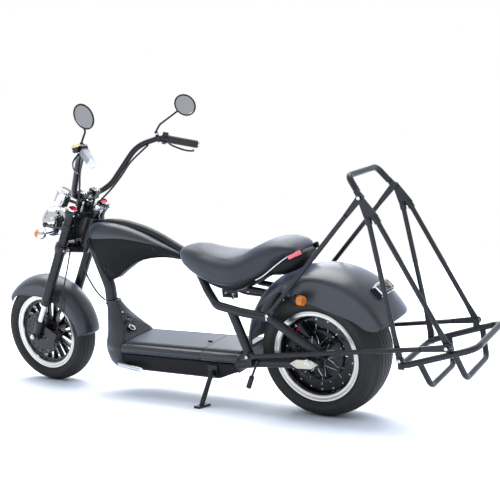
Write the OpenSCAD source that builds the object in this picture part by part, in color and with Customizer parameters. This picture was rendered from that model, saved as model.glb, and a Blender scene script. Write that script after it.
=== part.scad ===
// Electric fat-tyre scooter with a golf-bag carrier behind the rear wheel, parked on its side stand.
// The scooter is drawn upright: x forward, y to its left, z up, x = 0 under the rear axle, in millimetres.
// park() then leans it to its left on the stand, with the floor at z = 0.

/* [Stance] */
// Distance between the two axles
wheelbase = 1380; // [1340:5:1420]
// Lean to the left on the side stand, in degrees
lean = 10.8; // [9.6:0.2:12]
// Rake of the steering axis from the vertical, in degrees
rake = 29.4; // [28:0.2:31]
// Distance of the steering axis behind the fork legs
fork_offset = 45; // [42:1:48]
// Half distance between the fork legs
fork_half = 97; // [95:1:101]

/* [Wheels] */
// Outer diameter of the rear tyre
rear_tyre_d = 477; // [472:1:482]
// Width of the rear tyre
rear_tyre_w = 214; // [210:1:218]
// Outer diameter of the front tyre
front_tyre_d = 459; // [452:1:464]
// Width of the front tyre
front_tyre_w = 110; // [106:1:114]
// Diameter of the bead seats of both rims
bead_d = 305; // [303:0.5:307]
// Outer diameter of the polished rim lips
lip_d = 336; // [332:1:340]
// Width over the lips of the rear rim
rear_rim_w = 190; // [186:1:194]
// Width over the lips of the front rim
front_rim_w = 84; // [80:1:88]
// Number of forked spokes in the front wheel
spoke_count = 10; // [8:1:12]
// Diameter of both axles
axle_d = 14; // [12:1:16]
// Outer diameter of the front brake disc
front_disc_d = 190; // [180:1:196]
// Outer diameter of the rear brake disc
rear_disc_d = 200; // [190:1:204]

/* [Frame] */
// Diameter of the backbone tube
spine_d = 38; // [36:1:40]
// Diameter of the down tube
down_d = 48; // [44:1:50]
// Diameter of the seat rails
rail_d = 32; // [30:1:34]
// Diameter of the struts behind the deck
strut_d = 34; // [32:1:36]
// Diameter of the lower tubes that carry the rear axle
stay_d = 36; // [34:1:38]
// Half distance between the tubes beside the rear wheel
rail_half = 135; // [134:1:138]
// Outer diameter of the steering head
head_d = 52; // [50:1:56]

/* [Fork] */
// Diameter of the bright fork stanchions
stanchion_d = 26; // [25:0.5:28]
// Diameter of the outer fork tubes
fork_d = 42; // [40:1:43]
// Diameter of the steering stem
stem_d = 25; // [24:0.5:28]
// Diameter of the handlebar
bar_d = 24; // [22:0.5:26]
// Outer diameter of the grips
grip_d = 33; // [31:1:36]
// Diameter of the mirror glasses with their rims
mirror_d = 98; // [94:1:102]
// Diameter of the headlight bowl
headlight_d = 132; // [126:1:134]

/* [Deck] */
// Half width of the battery deck at its shoulders
deck_half = 126; // [122:1:128]
// Height of the standing surface
deck_top = 234; // [232:1:237]
// Wall thickness of the deck tub
deck_wall = 4; // [3:0.5:6]

/* [Carrier] */
// Tube diameter of the bag rack and its handle
rack_d = 22; // [20:1:24]
// Diameter of the carrier's six legs and two stays
leg_d = 17; // [16:1:18]
// Half distance between the two sides of the rack
rack_half = 150; // [148:1:152]

/* [Side stand] */
// Diameter of the stand's leg
stand_d = 19; // [17:1:21]

/* [Hidden] */
$fn = 48;
// Gap between two parts that seat on each other
fit = 0.3;
// Bent tubes: how much thicker a bend is than its runs, and how far the runs reach into it
elbow_swell = 0.3;
elbow_lap = 1.5;

// Wheels and stance
rear_r = rear_tyre_d / 2;
front_r = front_tyre_d / 2;
bead_r = bead_d / 2;
lip_r = lip_d / 2;
// Thickness of the rims' polished lips
lip_t = 6;
// Crown radius of each tyre, on which the scooter leans
rear_crown = 230;
front_crown = 75;
rear_rise = rear_crown * (1 - cos(lean));
front_rise = front_crown * (1 - cos(lean));
rear_axle_z = rear_r;
// The front axle is set so that both leaning tyres touch one floor
front_axle_z = front_r - (rear_rise - front_rise) / cos(lean);
// Height of the floor, in the upright frame, at a distance y to the left
function floor_z(y) = (y * sin(lean) - rear_rise) / cos(lean);

// The frame is laid out for this wheelbase; another one stretches it between seat and head
layout_wheelbase = 1380;
seat_front_x = 600;
head_rear_x = 1000;
front_shift = wheelbase - layout_wheelbase;
function sx(x) = x + front_shift * min(1, max(0, (x - seat_front_x) / (head_rear_x - seat_front_x)));
function stretched(points) = [for (p = points) [sx(p[0]), p[1], p[2]]];
function shifted(points) = [for (p = points) [p[0] + front_shift, p[1], p[2]]];

// Reach of the whole scooter, used to park it over its own centre
rack_rear_x = -600;
mirror_x = 738 + front_shift;
mirror_y = 314;
mirror_z = 1157;
mirror_t = 16;
// Direction in which the left mirror looks, towards the rider
mirror_look = unit([-0.72, -0.42, 0.3]);
// Stations of the left half of the handlebar; the grip covers its last run
bar_path = shifted([[1061, 0, 832], [1061, 78, 832], [1026, 116, 857], [912, 178, 1010],
    [833, 239, 1032], [707, 340, 985]]);
grip_start = bar_path[4];
grip_end = bar_path[5];
grip_run = unit(grip_end - grip_start);
// Levers: direction from each grip, stations and thickness
lever_side = unit(cross(grip_run, [0, 0, 1]) + [0, 0, -0.25]);
lever_path = [
    grip_start + grip_run * 21 + lever_side * (bar_d / 2 + 5),
    grip_start + grip_run * 46 + lever_side * 50,
    grip_start + grip_run * 160 + lever_side * 46
];
lever_run = unit(lever_path[2] - lever_path[1]);
lever_d = 9;
// Sideways place and reach of a point or a disc, once the scooter leans
function lean_y(p) = p[1] * cos(lean) + p[2] * sin(lean);
function disc_reach(d, axis) = d / 2 * sqrt(1 - lean_y(axis) * lean_y(axis));
park_left = lean_y([mirror_x, mirror_y, mirror_z] - mirror_look * mirror_t)
    + disc_reach(mirror_d, mirror_look);
park_right = lean_y([0, -lever_path[2][1], lever_path[2][2]])
    - disc_reach(lever_d, [0, -lever_run[1], lever_run[2]]);
park_x = (rack_rear_x - rack_d / 2 + wheelbase + front_r) / 2;
park_y = (park_left + park_right) / 2;

// Fork, measured along the legs from the front axle
foot_top = 75;
tube_low = 173;
clamp_low = 457;
clamp_high = 628;
clamp_t = 26;
fork_top = 640;
upper_d = fork_d - 3;
bar_rise = 684;
bar_fore = 19;

// Frame tubes: stations x, y, z
spine_path = stretched([[1052, 0, 692], [1010, 0, 706], [905, 0, 712], [752, 0, 674],
    [600, 0, 594], [520, 0, 540]]);
down_path = stretched([[1072, 0, 640], [1004, 0, 440], [1004, 0, 374]]);
rail_path = [[522, 24, 534], [459, 62, 458], [392, 108, 414], [277, 130, 400], [148, rail_half, 386],
    [-44, rail_half, 262]];
stay_path = [[316, 120, 192], [215, rail_half, 214], [-44, rail_half, 232]];
strut_path = [[322, 120, 402], [246, 126, 208]];

// Deck: heights and the two seams of the lid
deck_floor = 118;
deck_split = 190;
// How far the tub's sides stand in from the shoulders, and the battery well inside it
deck_tuck = 17;
well_rear_x = 440;
well_half = deck_half - deck_tuck - 11;
deck_rear_x = 316;
lid_rear_x = 487;
lid_front_x = sx(880);
hinge_r = 10;
hinge_x = lid_front_x - hinge_r;
hinge_z = deck_top - hinge_r;

// Carrier: stations of its left side, x, y, z
rack_bolt_high = [-243, rail_half + 11, 815];
rack_bolt_front = [-344, rack_half + 1, 273];
rack_bolt_rear = [-511, rack_half + 1, 332];
rack_bolt_front_leg = [143, rail_half + 20, 401];
rack_stay_front = [240, rail_half + 31, 243];
rack_stay_rear = rack_bolt_rear + [0, 14, 0];
rack_sockets = [[-267, rack_half + 1, 752], [-291, rack_half + 1, 755]];
// Pressed ends of the bars: thickness, half width and the length that the round bar runs in
press_t = 6;
press_half = 12;
press_lap = 5;
rack_corner_front = [-340, rack_half, 250];
rack_corner_rear = [rack_rear_x, rack_half, 331];

// Side stand: pivot, foot and the swing axis
stand_pivot = [440, deck_half + 2, 142];
stand_foot_y = deck_half + 60;
stand_axis = [0, 0.92, 0.392];
stand_pin_d = 12;

// Leans the upright scooter on its stand, over its own centre
module park() {
    translate([-park_x, -park_y, rear_rise])
        rotate([-lean, 0, 0])
            children();
}

// Places children in the fork's frame: z up along the legs from the front axle, x forward
module at_fork() {
    translate([wheelbase, 0, front_axle_z])
        rotate([0, -rake, 0])
            children();
}

// The children and their mirror image on the right side
module both_sides() {
    children();
    mirror([0, 1, 0]) children();
}

function unit(v) = v / norm(v);
function flip(points) = [for (p = points) [p[0], -p[1], p[2]]];
// Length that a bend takes from each of the two runs that meet at point i
function bend_reach(points, i, bend) =
    let (cosine = unit(points[i] - points[i - 1]) * unit(points[i + 1] - points[i]))
    bend * sqrt((1 - cosine) / (1 + cosine));

// Straight rod between two points
module rod(a, b, d) {
    v = b - a;
    translate(a)
        rotate([0, acos(v[2] / norm(v)), atan2(v[1], v[0])])
            cylinder(d = d, h = norm(v));
}

// Round bend at point i, a hair thicker than the straight runs that end inside it
module elbow(points, i, d, bend) {
    run_in = unit(points[i] - points[i - 1]);
    run_out = unit(points[i + 1] - points[i]);
    turn = acos(run_in * run_out);
    out = unit(run_out - run_in);
    centre = points[i] + out * bend / cos(turn / 2);
    start = points[i] - run_in * bend_reach(points, i, bend);
    ex = unit(start - centre);
    ez = cross(ex, run_in);
    multmatrix([
        [ex[0], run_in[0], ez[0], centre[0]],
        [ex[1], run_in[1], ez[1], centre[1]],
        [ex[2], run_in[2], ez[2], centre[2]],
        [0, 0, 0, 1]
    ])
        rotate_extrude(angle = turn)
            translate([bend, 0]) circle(d = d + elbow_swell);
}

// Tube through a list of points, with round bends of one radius
module bent_tube(points, d, bend) {
    last = len(points) - 1;
    for (i = [0 : last - 1]) {
        run = unit(points[i + 1] - points[i]);
        near = i == 0 ? 0 : bend_reach(points, i, bend) - elbow_lap;
        far = i == last - 1 ? 0 : bend_reach(points, i + 1, bend) - elbow_lap;
        rod(points[i] + run * near, points[i + 1] - run * far, d);
    }
    for (i = [1 : 1 : last - 1]) elbow(points, i, d, bend);
}

// Closed skin over a row of outlines that have as many points each
module skin(rings) {
    n = len(rings[0]);
    rows = len(rings);
    sides = [
        for (i = [0 : rows - 2], j = [0 : n - 1])
            let (k = (j + 1) % n)
            each [
                [i * n + j, (i + 1) * n + j, (i + 1) * n + k],
                [i * n + j, (i + 1) * n + k, i * n + k]
            ]
    ];
    caps = [
        [for (j = [0 : n - 1]) j],
        [for (j = [n - 1 : -1 : 0]) (rows - 1) * n + j]
    ];
    polyhedron([for (ring = rings) each ring], concat(sides, caps));
}

// Cylinder along y, centred on a point
module pin_y(p, d, length) {
    translate(p) rotate([90, 0, 0]) cylinder(d = d, h = length, center = true);
}

// Profile of one tyre: radius, half width, from the crown to the bead and back inside
function tyre_profile(r, w, crown, crown_end, rim_w) =
    let (
        steps = crown_end / lean,
        top = [for (i = [0 : steps]) [r - crown * (1 - cos(i * lean)), crown * sin(i * lean)]],
        shoulder = top[len(top) - 1],
        lip = [lip_r + 3, rim_w / 2],
        bulge = w / 2 - (shoulder[1] + lip[1]) / 2,
        wall = [for (t = [0.25, 0.5, 0.75])
            [shoulder[0] + (lip[0] - shoulder[0]) * t,
             shoulder[1] + (lip[1] - shoulder[1]) * t + bulge * sin(180 * t)]],
        seat = rim_w / 2 - lip_t - fit,
        thick = 11
    )
    concat(top, wall, [
        lip, [lip_r + fit, rim_w / 2 - 2], [lip_r + fit, seat], [bead_r + fit, seat],
        [bead_r + fit, seat - 16], [lip_r + thick, w / 2 - thick - 8],
        [shoulder[0] - thick, shoulder[1] - 4], [r - thick - 2, 0]
    ]);

module tyre(r, w, crown, crown_end, rim_w) {
    half = tyre_profile(r, w, crown, crown_end, rim_w);
    other = [for (i = [len(half) - 2 : -1 : 1]) [half[i][0], -half[i][1]]];
    rotate([90, 0, 0])
        rotate_extrude($fn = 96)
            polygon(concat(half, other));
}

// Rim with two lips, its barrel from radius inner out to the bead seat
module rim(rim_w, inner) {
    half = [
        [inner, 0], [inner, rim_w / 2 - lip_t - 2], [bead_r - 4, rim_w / 2],
        [lip_r - 2, rim_w / 2], [lip_r, rim_w / 2 - 2],
        [lip_r, rim_w / 2 - lip_t], [bead_r, rim_w / 2 - lip_t]
    ];
    other = [for (i = [len(half) - 1 : -1 : 1]) [half[i][0], -half[i][1]]];
    rotate([90, 0, 0])
        rotate_extrude($fn = 96)
            polygon(concat(half, other));
}

// Brake disc with a ring of round holes
module brake_disc(d, inner, thick, holes) {
    rotate([90, 0, 0])
        difference() {
            cylinder(d = d, h = thick, center = true, $fn = 96);
            cylinder(r = inner, h = thick + 2, center = true);
            for (i = [0 : holes - 1])
                rotate([0, 0, i * 360 / holes])
                    translate([d / 2 - 13, 0, 0]) cylinder(d = 9, h = thick + 2, center = true, $fn = 16);
        }
}

// Frame

module head_axis() {
    at_fork() translate([-fork_offset, 0, 0]) children();
}

module spine_shape(grow = 0) {
    bent_tube(spine_path, spine_d + grow, 90);
}

module head_shape(grow = 0) {
    head_axis()
        translate([0, 0, clamp_low + clamp_t / 2 + 3 - grow / 2])
            cylinder(d = head_d + grow, h = clamp_high - clamp_low - clamp_t - 6 + grow);
}

module spine_tube() {
    color("#2a2d33")
        difference() {
            union() {
                spine_shape();
                head_shape();
            }
            head_axis()
                translate([0, 0, clamp_low]) cylinder(d = stem_d + 2 * fit, h = clamp_high - clamp_low);
        }
}

module down_tube() {
    color("#2a2d33")
        difference() {
            bent_tube(down_path, down_d, 120);
            head_shape(2 * fit);
            spine_shape(2 * fit);
        }
}

module stay_shape(grow = 0) {
    bent_tube(stay_path, stay_d + grow, 120);
}

module rail_shape(grow = 0) {
    bent_tube(rail_path, rail_d + grow, 60);
}

module seat_rail() {
    difference() {
        rail_shape();
        spine_shape(2 * fit);
        stay_shape(2 * fit);
    }
}

module seat_rails() {
    color("#2a2d33") both_sides() seat_rail();
}

module seat_struts() {
    color("#26292e")
        both_sides()
            difference() {
                rod(strut_path[0], strut_path[1], strut_d);
                rail_shape(2 * fit);
                stay_shape(2 * fit);
            }
}

module lower_tubes() {
    color("#26292e")
        both_sides()
            difference() {
                stay_shape();
                pin_y([0, rail_half, rear_axle_z], axle_d + 2 * fit, stay_d + 2);
            }
}

// Cross plate behind the deck, to which deck and lower tubes are fixed
module rear_plate() {
    plate_t = 6;
    color("#1d1f22")
        translate([deck_rear_x - plate_t, 0, 0])
            difference() {
                translate([0, -deck_half, deck_split - 30]) cube([plate_t, 2 * deck_half, 66]);
                translate([-deck_rear_x + plate_t, 0, 0]) both_sides() stay_shape(2 * fit);
            }
}

// Tank cover: x, top z, top half width, crease z, crease half width, belly z, belly half width
tank_sections = [
    [1038, 712, 44, 652, 60, 560, 20],
    [1000, 716, 48, 655, 64, 494, 20],
    [966, 717, 50, 656, 66, 474, 19],
    [905, 712, 48, 658, 67, 506, 19],
    [838, 696, 44, 654, 64, 546, 19],
    [760, 668, 40, 640, 58, 566, 18],
    [673, 628, 32, 620, 48, 572, 17],
    [600, 590, 24, 588, 32, 562, 15]
];
function tank_ring(s) = [
    for (p = [
        [s[2], s[1]], [s[2] + (s[4] - s[2]) * 0.75, s[3] + (s[1] - s[3]) * 0.55], [s[4], s[3]],
        [s[4] - (s[4] - s[6]) * 0.55, s[5] + (s[3] - s[5]) * 0.62],
        [s[6] + 3, s[5] + (s[3] - s[5]) * 0.25], [s[6], s[5]],
        [-s[6], s[5]], [-s[6] - 3, s[5] + (s[3] - s[5]) * 0.25],
        [-s[4] + (s[4] - s[6]) * 0.55, s[5] + (s[3] - s[5]) * 0.62],
        [-s[4], s[3]], [-s[2] - (s[4] - s[2]) * 0.75, s[3] + (s[1] - s[3]) * 0.55], [-s[2], s[1]]
    ]) [sx(s[0]), p[0], p[1]]
];

module tank_shape(grow = 0) {
    swell = [0, grow, grow, 0, grow, 0, grow];
    skin([for (s = tank_sections) tank_ring(s + swell)]);
}

module tank_cover() {
    color("#3a3f47")
        difference() {
            tank_shape();
            spine_shape(4);
            head_shape(2 * fit);
            bent_tube(down_path, down_d + 2 * fit, 120);
        }
}

// Deck

// Half outline of the deck across the scooter: y, z
deck_outline = [
    [0, deck_floor], [deck_half - 28, deck_floor], [deck_half - deck_tuck, deck_floor + 9],
    [deck_half - deck_tuck, deck_split - 8], [deck_half - 5, deck_split], [deck_half, deck_split + 8],
    [deck_half, deck_top - 22], [deck_half - 5, deck_top - 13], [deck_half - 14, deck_top - 8],
    [deck_half - 26, deck_top - 8], [deck_half - 28, deck_top - 10], [deck_half - 31, deck_top - 10],
    [deck_half - 34, deck_top], [0, deck_top]
];

module deck_bar(x0, x1) {
    other = [for (i = [len(deck_outline) - 2 : -1 : 1]) [-deck_outline[i][0], deck_outline[i][1]]];
    translate([x0, 0, 0])
        rotate([90, 0, 90])
            linear_extrude(x1 - x0)
                polygon(concat(deck_outline, other));
}

// Box across the whole deck
module deck_block(x0, x1, z0, z1) {
    translate([x0, -deck_half - 5, z0]) cube([x1 - x0, 2 * deck_half + 10, z1 - z0]);
}

// Side outline extruded across the scooter
module across(points, width) {
    rotate([90, 0, 0])
        linear_extrude(width, center = true)
            polygon(points);
}

// Lower part of the deck, with the battery well in it
module deck_tub() {
    color("#202226")
        difference() {
            deck_bar(deck_rear_x + fit, lid_front_x);
            deck_block(deck_rear_x, lid_front_x + 1, deck_split, deck_top + 1);
            across([[deck_rear_x - 1, deck_floor - 1], [430, deck_floor - 1], [345, 150],
                [deck_rear_x - 1, 160]], 2 * deck_half);
            translate([well_rear_x, -well_half, deck_floor + deck_wall])
                cube([lid_front_x - well_rear_x - deck_wall, 2 * well_half, deck_split]);
        }
}

module battery() {
    color("#3d4147")
        translate([lid_rear_x + 20, -88, deck_floor + deck_wall + fit])
            cube([lid_front_x - lid_rear_x - 50, 176, 58]);
}

module deck_lid() {
    sweep = [
        for (a = [90 : -15 : 0]) [hinge_x + hinge_r * cos(a), hinge_z + hinge_r * sin(a)]
    ];
    color("#343941")
        difference() {
            intersection() {
                deck_bar(lid_rear_x, lid_front_x);
                across(concat(
                    sweep,
                    [[lid_front_x, hinge_z - 6], [lid_front_x - 14, deck_split + fit],
                    [lid_rear_x, deck_split + fit], [lid_rear_x, deck_top + 1], [hinge_x, deck_top + 1]]
                ), 2 * deck_half + 2);
            }
            translate([lid_rear_x + 12, -deck_half + 30, deck_split - 1])
                cube([lid_front_x - lid_rear_x - 60, 2 * deck_half - 60, deck_top - deck_split - 9]);
            pin_y([hinge_x, 0, hinge_z], 6 + 2 * fit, 2 * deck_half + 4);
        }
}

module deck_tail() {
    color("#343941")
        difference() {
            deck_bar(deck_rear_x + fit, lid_rear_x - 1);
            deck_block(deck_rear_x, lid_rear_x, deck_floor - 1, deck_split + fit);
            both_sides() {
                rod(strut_path[0], strut_path[1], strut_d + 2);
                stay_shape(2 * fit);
            }
        }
}

// Nose housing, level slices: z, rear x, front x, half width
nose_slices = [
    [deck_floor, 985, 98], [140, 1004, 112], [175, 1014, 122], [204, 1014, 126],
    [222, 1015, 118], [240, 1016, 108], [262, 1017, 98], [300, 1017, 80], [338, 1016, 56], [372, 1030, 36]
];
// Rear edge of the nose at a height, the concave ramp above the deck
ramp = [[deck_floor, 0], [deck_top, 0], [262, 10], [300, 28], [338, 58], [372, 84]];
nose_points = 28;
// Half width of the deck for which the slices are given
layout_deck_half = 126;
function nose_ring(s) =
    let (
        back = lid_front_x + fit + lookup(s[0], ramp),
        front = sx(s[1]),
        mid = back + (front - back) * 0.12,
        half = s[2] * deck_half / layout_deck_half
    )
    [for (i = [0 : nose_points - 1])
        let (
            a = -360 * (i + 0.5) / nose_points,
            c = cos(a),
            d = sin(a),
            p = c < 0 ? 0.35 : 1
        )
        [mid + sign(c) * pow(abs(c), p) * (c < 0 ? mid - back : front - mid),
         half * sign(d) * pow(abs(d), c < 0 ? 0.35 : 0.9), s[0]]];

module deck_nose() {
    color("#343941")
        difference() {
            skin([for (i = [len(nose_slices) - 1 : -1 : 0]) nose_ring(nose_slices[i])]);
            translate([0, 0, -30]) bent_tube(down_path, down_d + 2 * fit, 120);
            bent_tube(down_path, down_d + 2 * fit, 120);
            for (p = lock_places) lock_place(p) cylinder(d = p[3] + 2 * fit, h = 60);
        }
}

// Key switch and charging port on the ramp: x, y, z, diameter
lock_places = [[896, 30, 262, 30], [912, 26, 298, 24]];
module lock_place(p) {
    translate([sx(p[0]), p[1], p[2]]) rotate([0, -40, 0]) children();
}

// Key switch on the ramp, charging port, lid knob and the hinge pin of the lid
module locks() {
    color("#c9ccd0") {
        pin_y([hinge_x, 0, hinge_z], 6, 2 * deck_half - 30);
        for (p = lock_places)
            lock_place(p)
                difference() {
                    translate([0, 0, fit]) cylinder(d = p[3], h = 16);
                    translate([0, 0, 12]) cylinder(d = p[3] - 8, h = 10);
                }
    }
}

// Seat: x, top z, bottom z, half width, side roundness
seat_sections = [
    [600, 606, 588, 22],
    [580, 626, 560, 52],
    [545, 634, 534, 74],
    [500, 628, 510, 92],
    [440, 610, 488, 112],
    [380, 600, 478, 124],
    [330, 598, 474, 130],
    [285, 606, 482, 130],
    [235, 628, 504, 126],
    [180, 648, 540, 120],
    [125, 659, 584, 110],
    [85, 652, 606, 92],
    [58, 634, 612, 60]
];
function seat_ring(s) =
    [for (i = [0 : 15])
        let (a = -22.5 * i - 11.25, c = cos(a), d = sin(a),
            mid = (s[1] + s[2]) / 2, half = (s[1] - s[2]) / 2)
        [s[0], s[3] * sign(c) * pow(abs(c), 0.6), mid + half * sign(d) * pow(abs(d), 0.7)]];

module seat() {
    color("#33363c")
        difference() {
            skin([for (s = seat_sections) seat_ring(s)]);
            spine_shape(2);
            both_sides() rail_shape(2);
            tank_shape(1);
        }
}

// Pan under the seat, set in from its edge
module seat_pan() {
    color("#17181a")
        difference() {
            skin([for (s = [
                [540, 528, 512, 40], [440, 484, 468, 70], [330, 470, 452, 84],
                [285, 478, 458, 86], [180, 536, 496, 80], [110, 588, 556, 62]
            ]) seat_ring(s)]);
            both_sides() rail_shape(2 * fit);
            spine_shape(2 * fit);
            bar_shape(2 * fit);
            skin([for (s = seat_sections) seat_ring([s[0], s[1], s[2] - fit, s[3] + fit])]);
        }
}

// Rear fender
fender_x = -12;
fender_z = rear_axle_z + 2;
fender_r = rear_r + 79.5;
fender_half = 127;
fender_t = 3;

function fender_profile(r, half, t, skirt) = [
    [r, 0], [r - 2, half * 0.45], [r - 9, half * 0.78], [r - 20, half * 0.93],
    [r - 36, half], [skirt, half + 1],
    [skirt, half + 1 - t], [r - 37, half - t], [r - 22, half * 0.93 - t],
    [r - 11 - t * 0.4, half * 0.78 - t * 0.5],
    [r - 2 - t, half * 0.45], [r - t, 0]
];

module fender_shell(r, half, t, skirt) {
    outline = fender_profile(r, half, t, skirt);
    rotate([90, 0, 0])
        rotate_extrude($fn = 96) {
            polygon(outline);
            mirror([0, 1]) polygon(outline);
        }
}

module rear_fender() {
    color("#3a3f47")
        intersection() {
            translate([fender_x, 0, fender_z]) fender_shell(fender_r, fender_half, fender_t, 175);
            union() {
                across([[-300, 366], [-262, 345], [-222, 342], [-180, 384], [-86, 418], [40, 452], [120, 470],
                    [170, 500], [170, 600], [-400, 600], [-400, 366]], 2 * fender_half + 4);
                across([[60, 440], [400, 262], [400, 600], [60, 600]], 2 * 96);
            }
        }
}

// Two short bars from the seat pan back to the fender
module bar_shape(grow = 0) {
    both_sides() rod([292, 46, 468], [204, 46, 456], 22 + grow);
}

module fender_bar() {
    color("#1d1f22")
        difference() {
            bar_shape();
            pin_y([fender_x, 0, fender_z], 2 * (fender_r - 2 * fit), 300);
        }
}

module tail_light() {
    color("#d9dbde")
        difference() {
            translate([fender_x, 0, fender_z])
                rotate([0, -46, 0])
                    translate([11, 0, fender_r]) {
                        cube([54, 116, 26], center = true);
                        translate([10, 0, 16]) cube([30, 104, 12], center = true);
                    }
            pin_y([fender_x, 0, fender_z], 2 * (fender_r + 0.8), 300);
        }
}

// Amber lamps on short black stalks, behind the seat rails
module rear_indicators() {
    color("#e07a1a")
        both_sides() {
            pin_y([44, fender_half + 1 + fit + 5, 462], 24, 10);
            rod([42, fender_half + 8, 462], [16, 158, 464], 14);
            rod([28, 158, 464], [-14, 166, 464], 36);
        }
}

module axle_covers() {
    cover_t = 4;
    color("#b9b4a8")
        both_sides()
            translate([0, rail_half + stay_d / 2 + fit + cover_t / 2, 0])
                across([[72, 228], [44, 245], [-14, 246], [-40, 232], [-12, 214], [44, 212]], cover_t);
}

module rear_axle() {
    color("#8d9095") pin_y([0, 0, rear_axle_z], axle_d, 2 * rail_half + stay_d - 2);
}

module rear_caliper() {
    color("#1b1c1e") {
        difference() {
            translate([36, 96, rear_axle_z + 90]) rotate([0, 38, 0]) cube([40, 45, 62], center = true);
            pin_y([0, 82, rear_axle_z], rear_disc_d + 4, 9);
        }
    }
}

module foot_pegs() {
    color("#c9ccd0")
        both_sides() {
            rod([sx(892), deck_half + 6, 146], [sx(775), deck_half + 12, 136], 22);
            translate([sx(852), deck_half - deck_tuck + fit, 130]) cube([24, 24, 22]);
        }
}

module drop_pegs() {
    color("#b9bcc0")
        both_sides() {
            difference() {
                rod([205, rail_half + stay_d / 2 + 3, 228], [236, 158, 164], 9);
                stay_shape(2 * fit);
            }
            rod([236, 158, 164], [254, 160, 122], 20);
        }
}

module stand_bracket() {
    color("#1b1c1e") {
        translate([418, deck_half - deck_tuck + fit, deck_floor + 10]) cube([44, 6, 48]);
        rod(stand_pivot - stand_axis * 15, stand_pivot + stand_axis * 12, stand_pin_d);
    }
}

// Hose from the head down the front of the down tube
module frame_hose() {
    color("#151617")
        bent_tube(stretched([[1106, 30, 556], [1098, 34, 500], [1070, 28, 436], [1029.5, 11, 378]]), 7, 30);
}

// Carrier

module loop_shape(grow = 0) {
    bent_tube([
        [rack_corner_front[0], 0, rack_corner_front[2]], rack_corner_front,
        rack_corner_rear, flip([rack_corner_rear])[0],
        flip([rack_corner_front])[0], [rack_corner_front[0], 0, rack_corner_front[2]]
    ], rack_d + grow, 40);
}

module rack_loop() {
    color("#26292e") loop_shape();
}

module rack_hoops() {
    color("#26292e")
        for (h = [[-410, 272, -433, 179], [-530, 309, -552, 216]])
            difference() {
                bent_tube([
                    [h[0], rack_half, h[1]], [h[2], 112, h[3]],
                    [h[2], -112, h[3]], [h[0], -rack_half, h[1]]
                ], rack_d - 2, 34);
                loop_shape(2 * fit);
            }
}

// Bar end pressed flat around its bolt: p is the bolt, run points along the bar
module pressed_end(p, run, length, grow = 0) {
    side = unit([run[2], 0, -run[0]]);
    q = p + run * length;
    outline = [p + side * press_half, p - side * press_half, q - side * leg_d / 2, q + side * leg_d / 2];
    translate([0, p[1], 0]) across([for (c = outline) [c[0], c[2]]], press_t + grow);
    pin_y(p, 2 * press_half + grow, press_t + grow);
}

// Bar between two bolts, pressed flat at one end or both
module leg(a, b, flat_a, flat_b, grow = 0) {
    run = unit(b - a);
    rod(a + run * max(0, flat_a - press_lap), b - run * (flat_b - press_lap), leg_d + grow);
    if (flat_a > 0) pressed_end(a, run, flat_a, grow);
    pressed_end(b, -run, flat_b, grow);
}

// Left side of the carrier: front leg, then middle and rear legs down from their sockets
module rack_side(grow = 0) {
    leg(rack_bolt_front_leg, rack_bolt_high, 34, 86, grow);
    leg(rack_sockets[0], rack_bolt_front, 0, 74, grow);
    leg(rack_sockets[1], rack_bolt_rear, 0, 62, grow);
}

module rack_legs() {
    color("#26292e") both_sides() rack_side();
}

module handle_shape(grow = 0) {
    corner = [-193, 117, 885];
    foot = rack_bolt_high + [0, -press_t - fit, 0];
    run = unit(corner - foot);
    start = foot + run * 22;
    bent_tube([start, corner, flip([corner])[0], flip([start])[0]], rack_d + grow, 32);
    both_sides() pressed_end(foot, run, 30, grow);
}

module rack_handle() {
    color("#26292e") handle_shape();
}

module stays_shape(grow = 0) {
    both_sides() leg(rack_stay_front, rack_stay_rear, 30, 96, grow);
}

module rack_stays() {
    color("#26292e") stays_shape();
}

// Fork plates with sockets, tabs on the loop, lugs on the frame, a spacer and bolt heads
module rack_fittings() {
    tab_t = 5;
    tab_half = 11;
    bolt_d = 16;
    bolt_h = 5;
    low = press_t / 2 + fit + tab_t / 2;
    high = press_t / 2 + fit + bolt_h / 2;
    lug_low = rail_half + 2;
    color("#3a3d42")
        both_sides()
            difference() {
                union() {
                    translate([0, rack_bolt_high[1] + low, 0])
                        across([[-232, 826], [-252, 824], [-305, 756], [-300, 742], [-262, 740],
                            [-254, 752]], tab_t);
                    for (i = [0, 1]) {
                        foot = i == 0 ? rack_bolt_front : rack_bolt_rear;
                        rod(rack_sockets[i], rack_sockets[i] + unit(foot - rack_sockets[i]) * 26, leg_d + 6);
                    }
                    for (p = [rack_bolt_front, rack_bolt_rear]) {
                        translate(p - [tab_half, low + tab_t / 2, 34]) cube([2 * tab_half, tab_t, 44]);
                    }
                    translate([rack_stay_front[0] - tab_half, lug_low, 205])
                        cube([2 * tab_half, rack_stay_front[1] - press_t / 2 - fit - lug_low, 46]);
                    translate([rack_bolt_front_leg[0], lug_low, 394])
                        rotate([-90, 0, 0])
                            cylinder(d = 22, h = rack_bolt_front_leg[1] - press_t / 2 - fit - lug_low);
                    for (p = [rack_bolt_front, rack_bolt_front_leg, rack_stay_front, rack_stay_rear])
                        pin_y(p + [0, high, 0], bolt_d, bolt_h);
                    pin_y(rack_bolt_high + [0, high + tab_t, 0], bolt_d, bolt_h);
                    pin_y((rack_bolt_rear + rack_stay_rear) / 2, bolt_d,
                        rack_stay_rear[1] - rack_bolt_rear[1]);
                }
                rod(strut_path[0], strut_path[1], strut_d + 2 * fit);
                loop_shape(2 * fit);
                rack_side(2 * fit);
                rail_shape(2 * fit);
                stay_shape(2 * fit);
                handle_shape(2 * fit);
                stays_shape(2 * fit);
            }
}

// Steering, in the fork's frame

module steering_stem() {
    color("#c9ccd0")
        head_axis() {
            translate([0, 0, clamp_low - clamp_t / 2])
                cylinder(d = stem_d, h = clamp_high - clamp_low + 30);
            translate([0, 0, clamp_high + 13 + fit]) cylinder(d = 36, h = 10, $fn = 6);
        }
}

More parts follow.
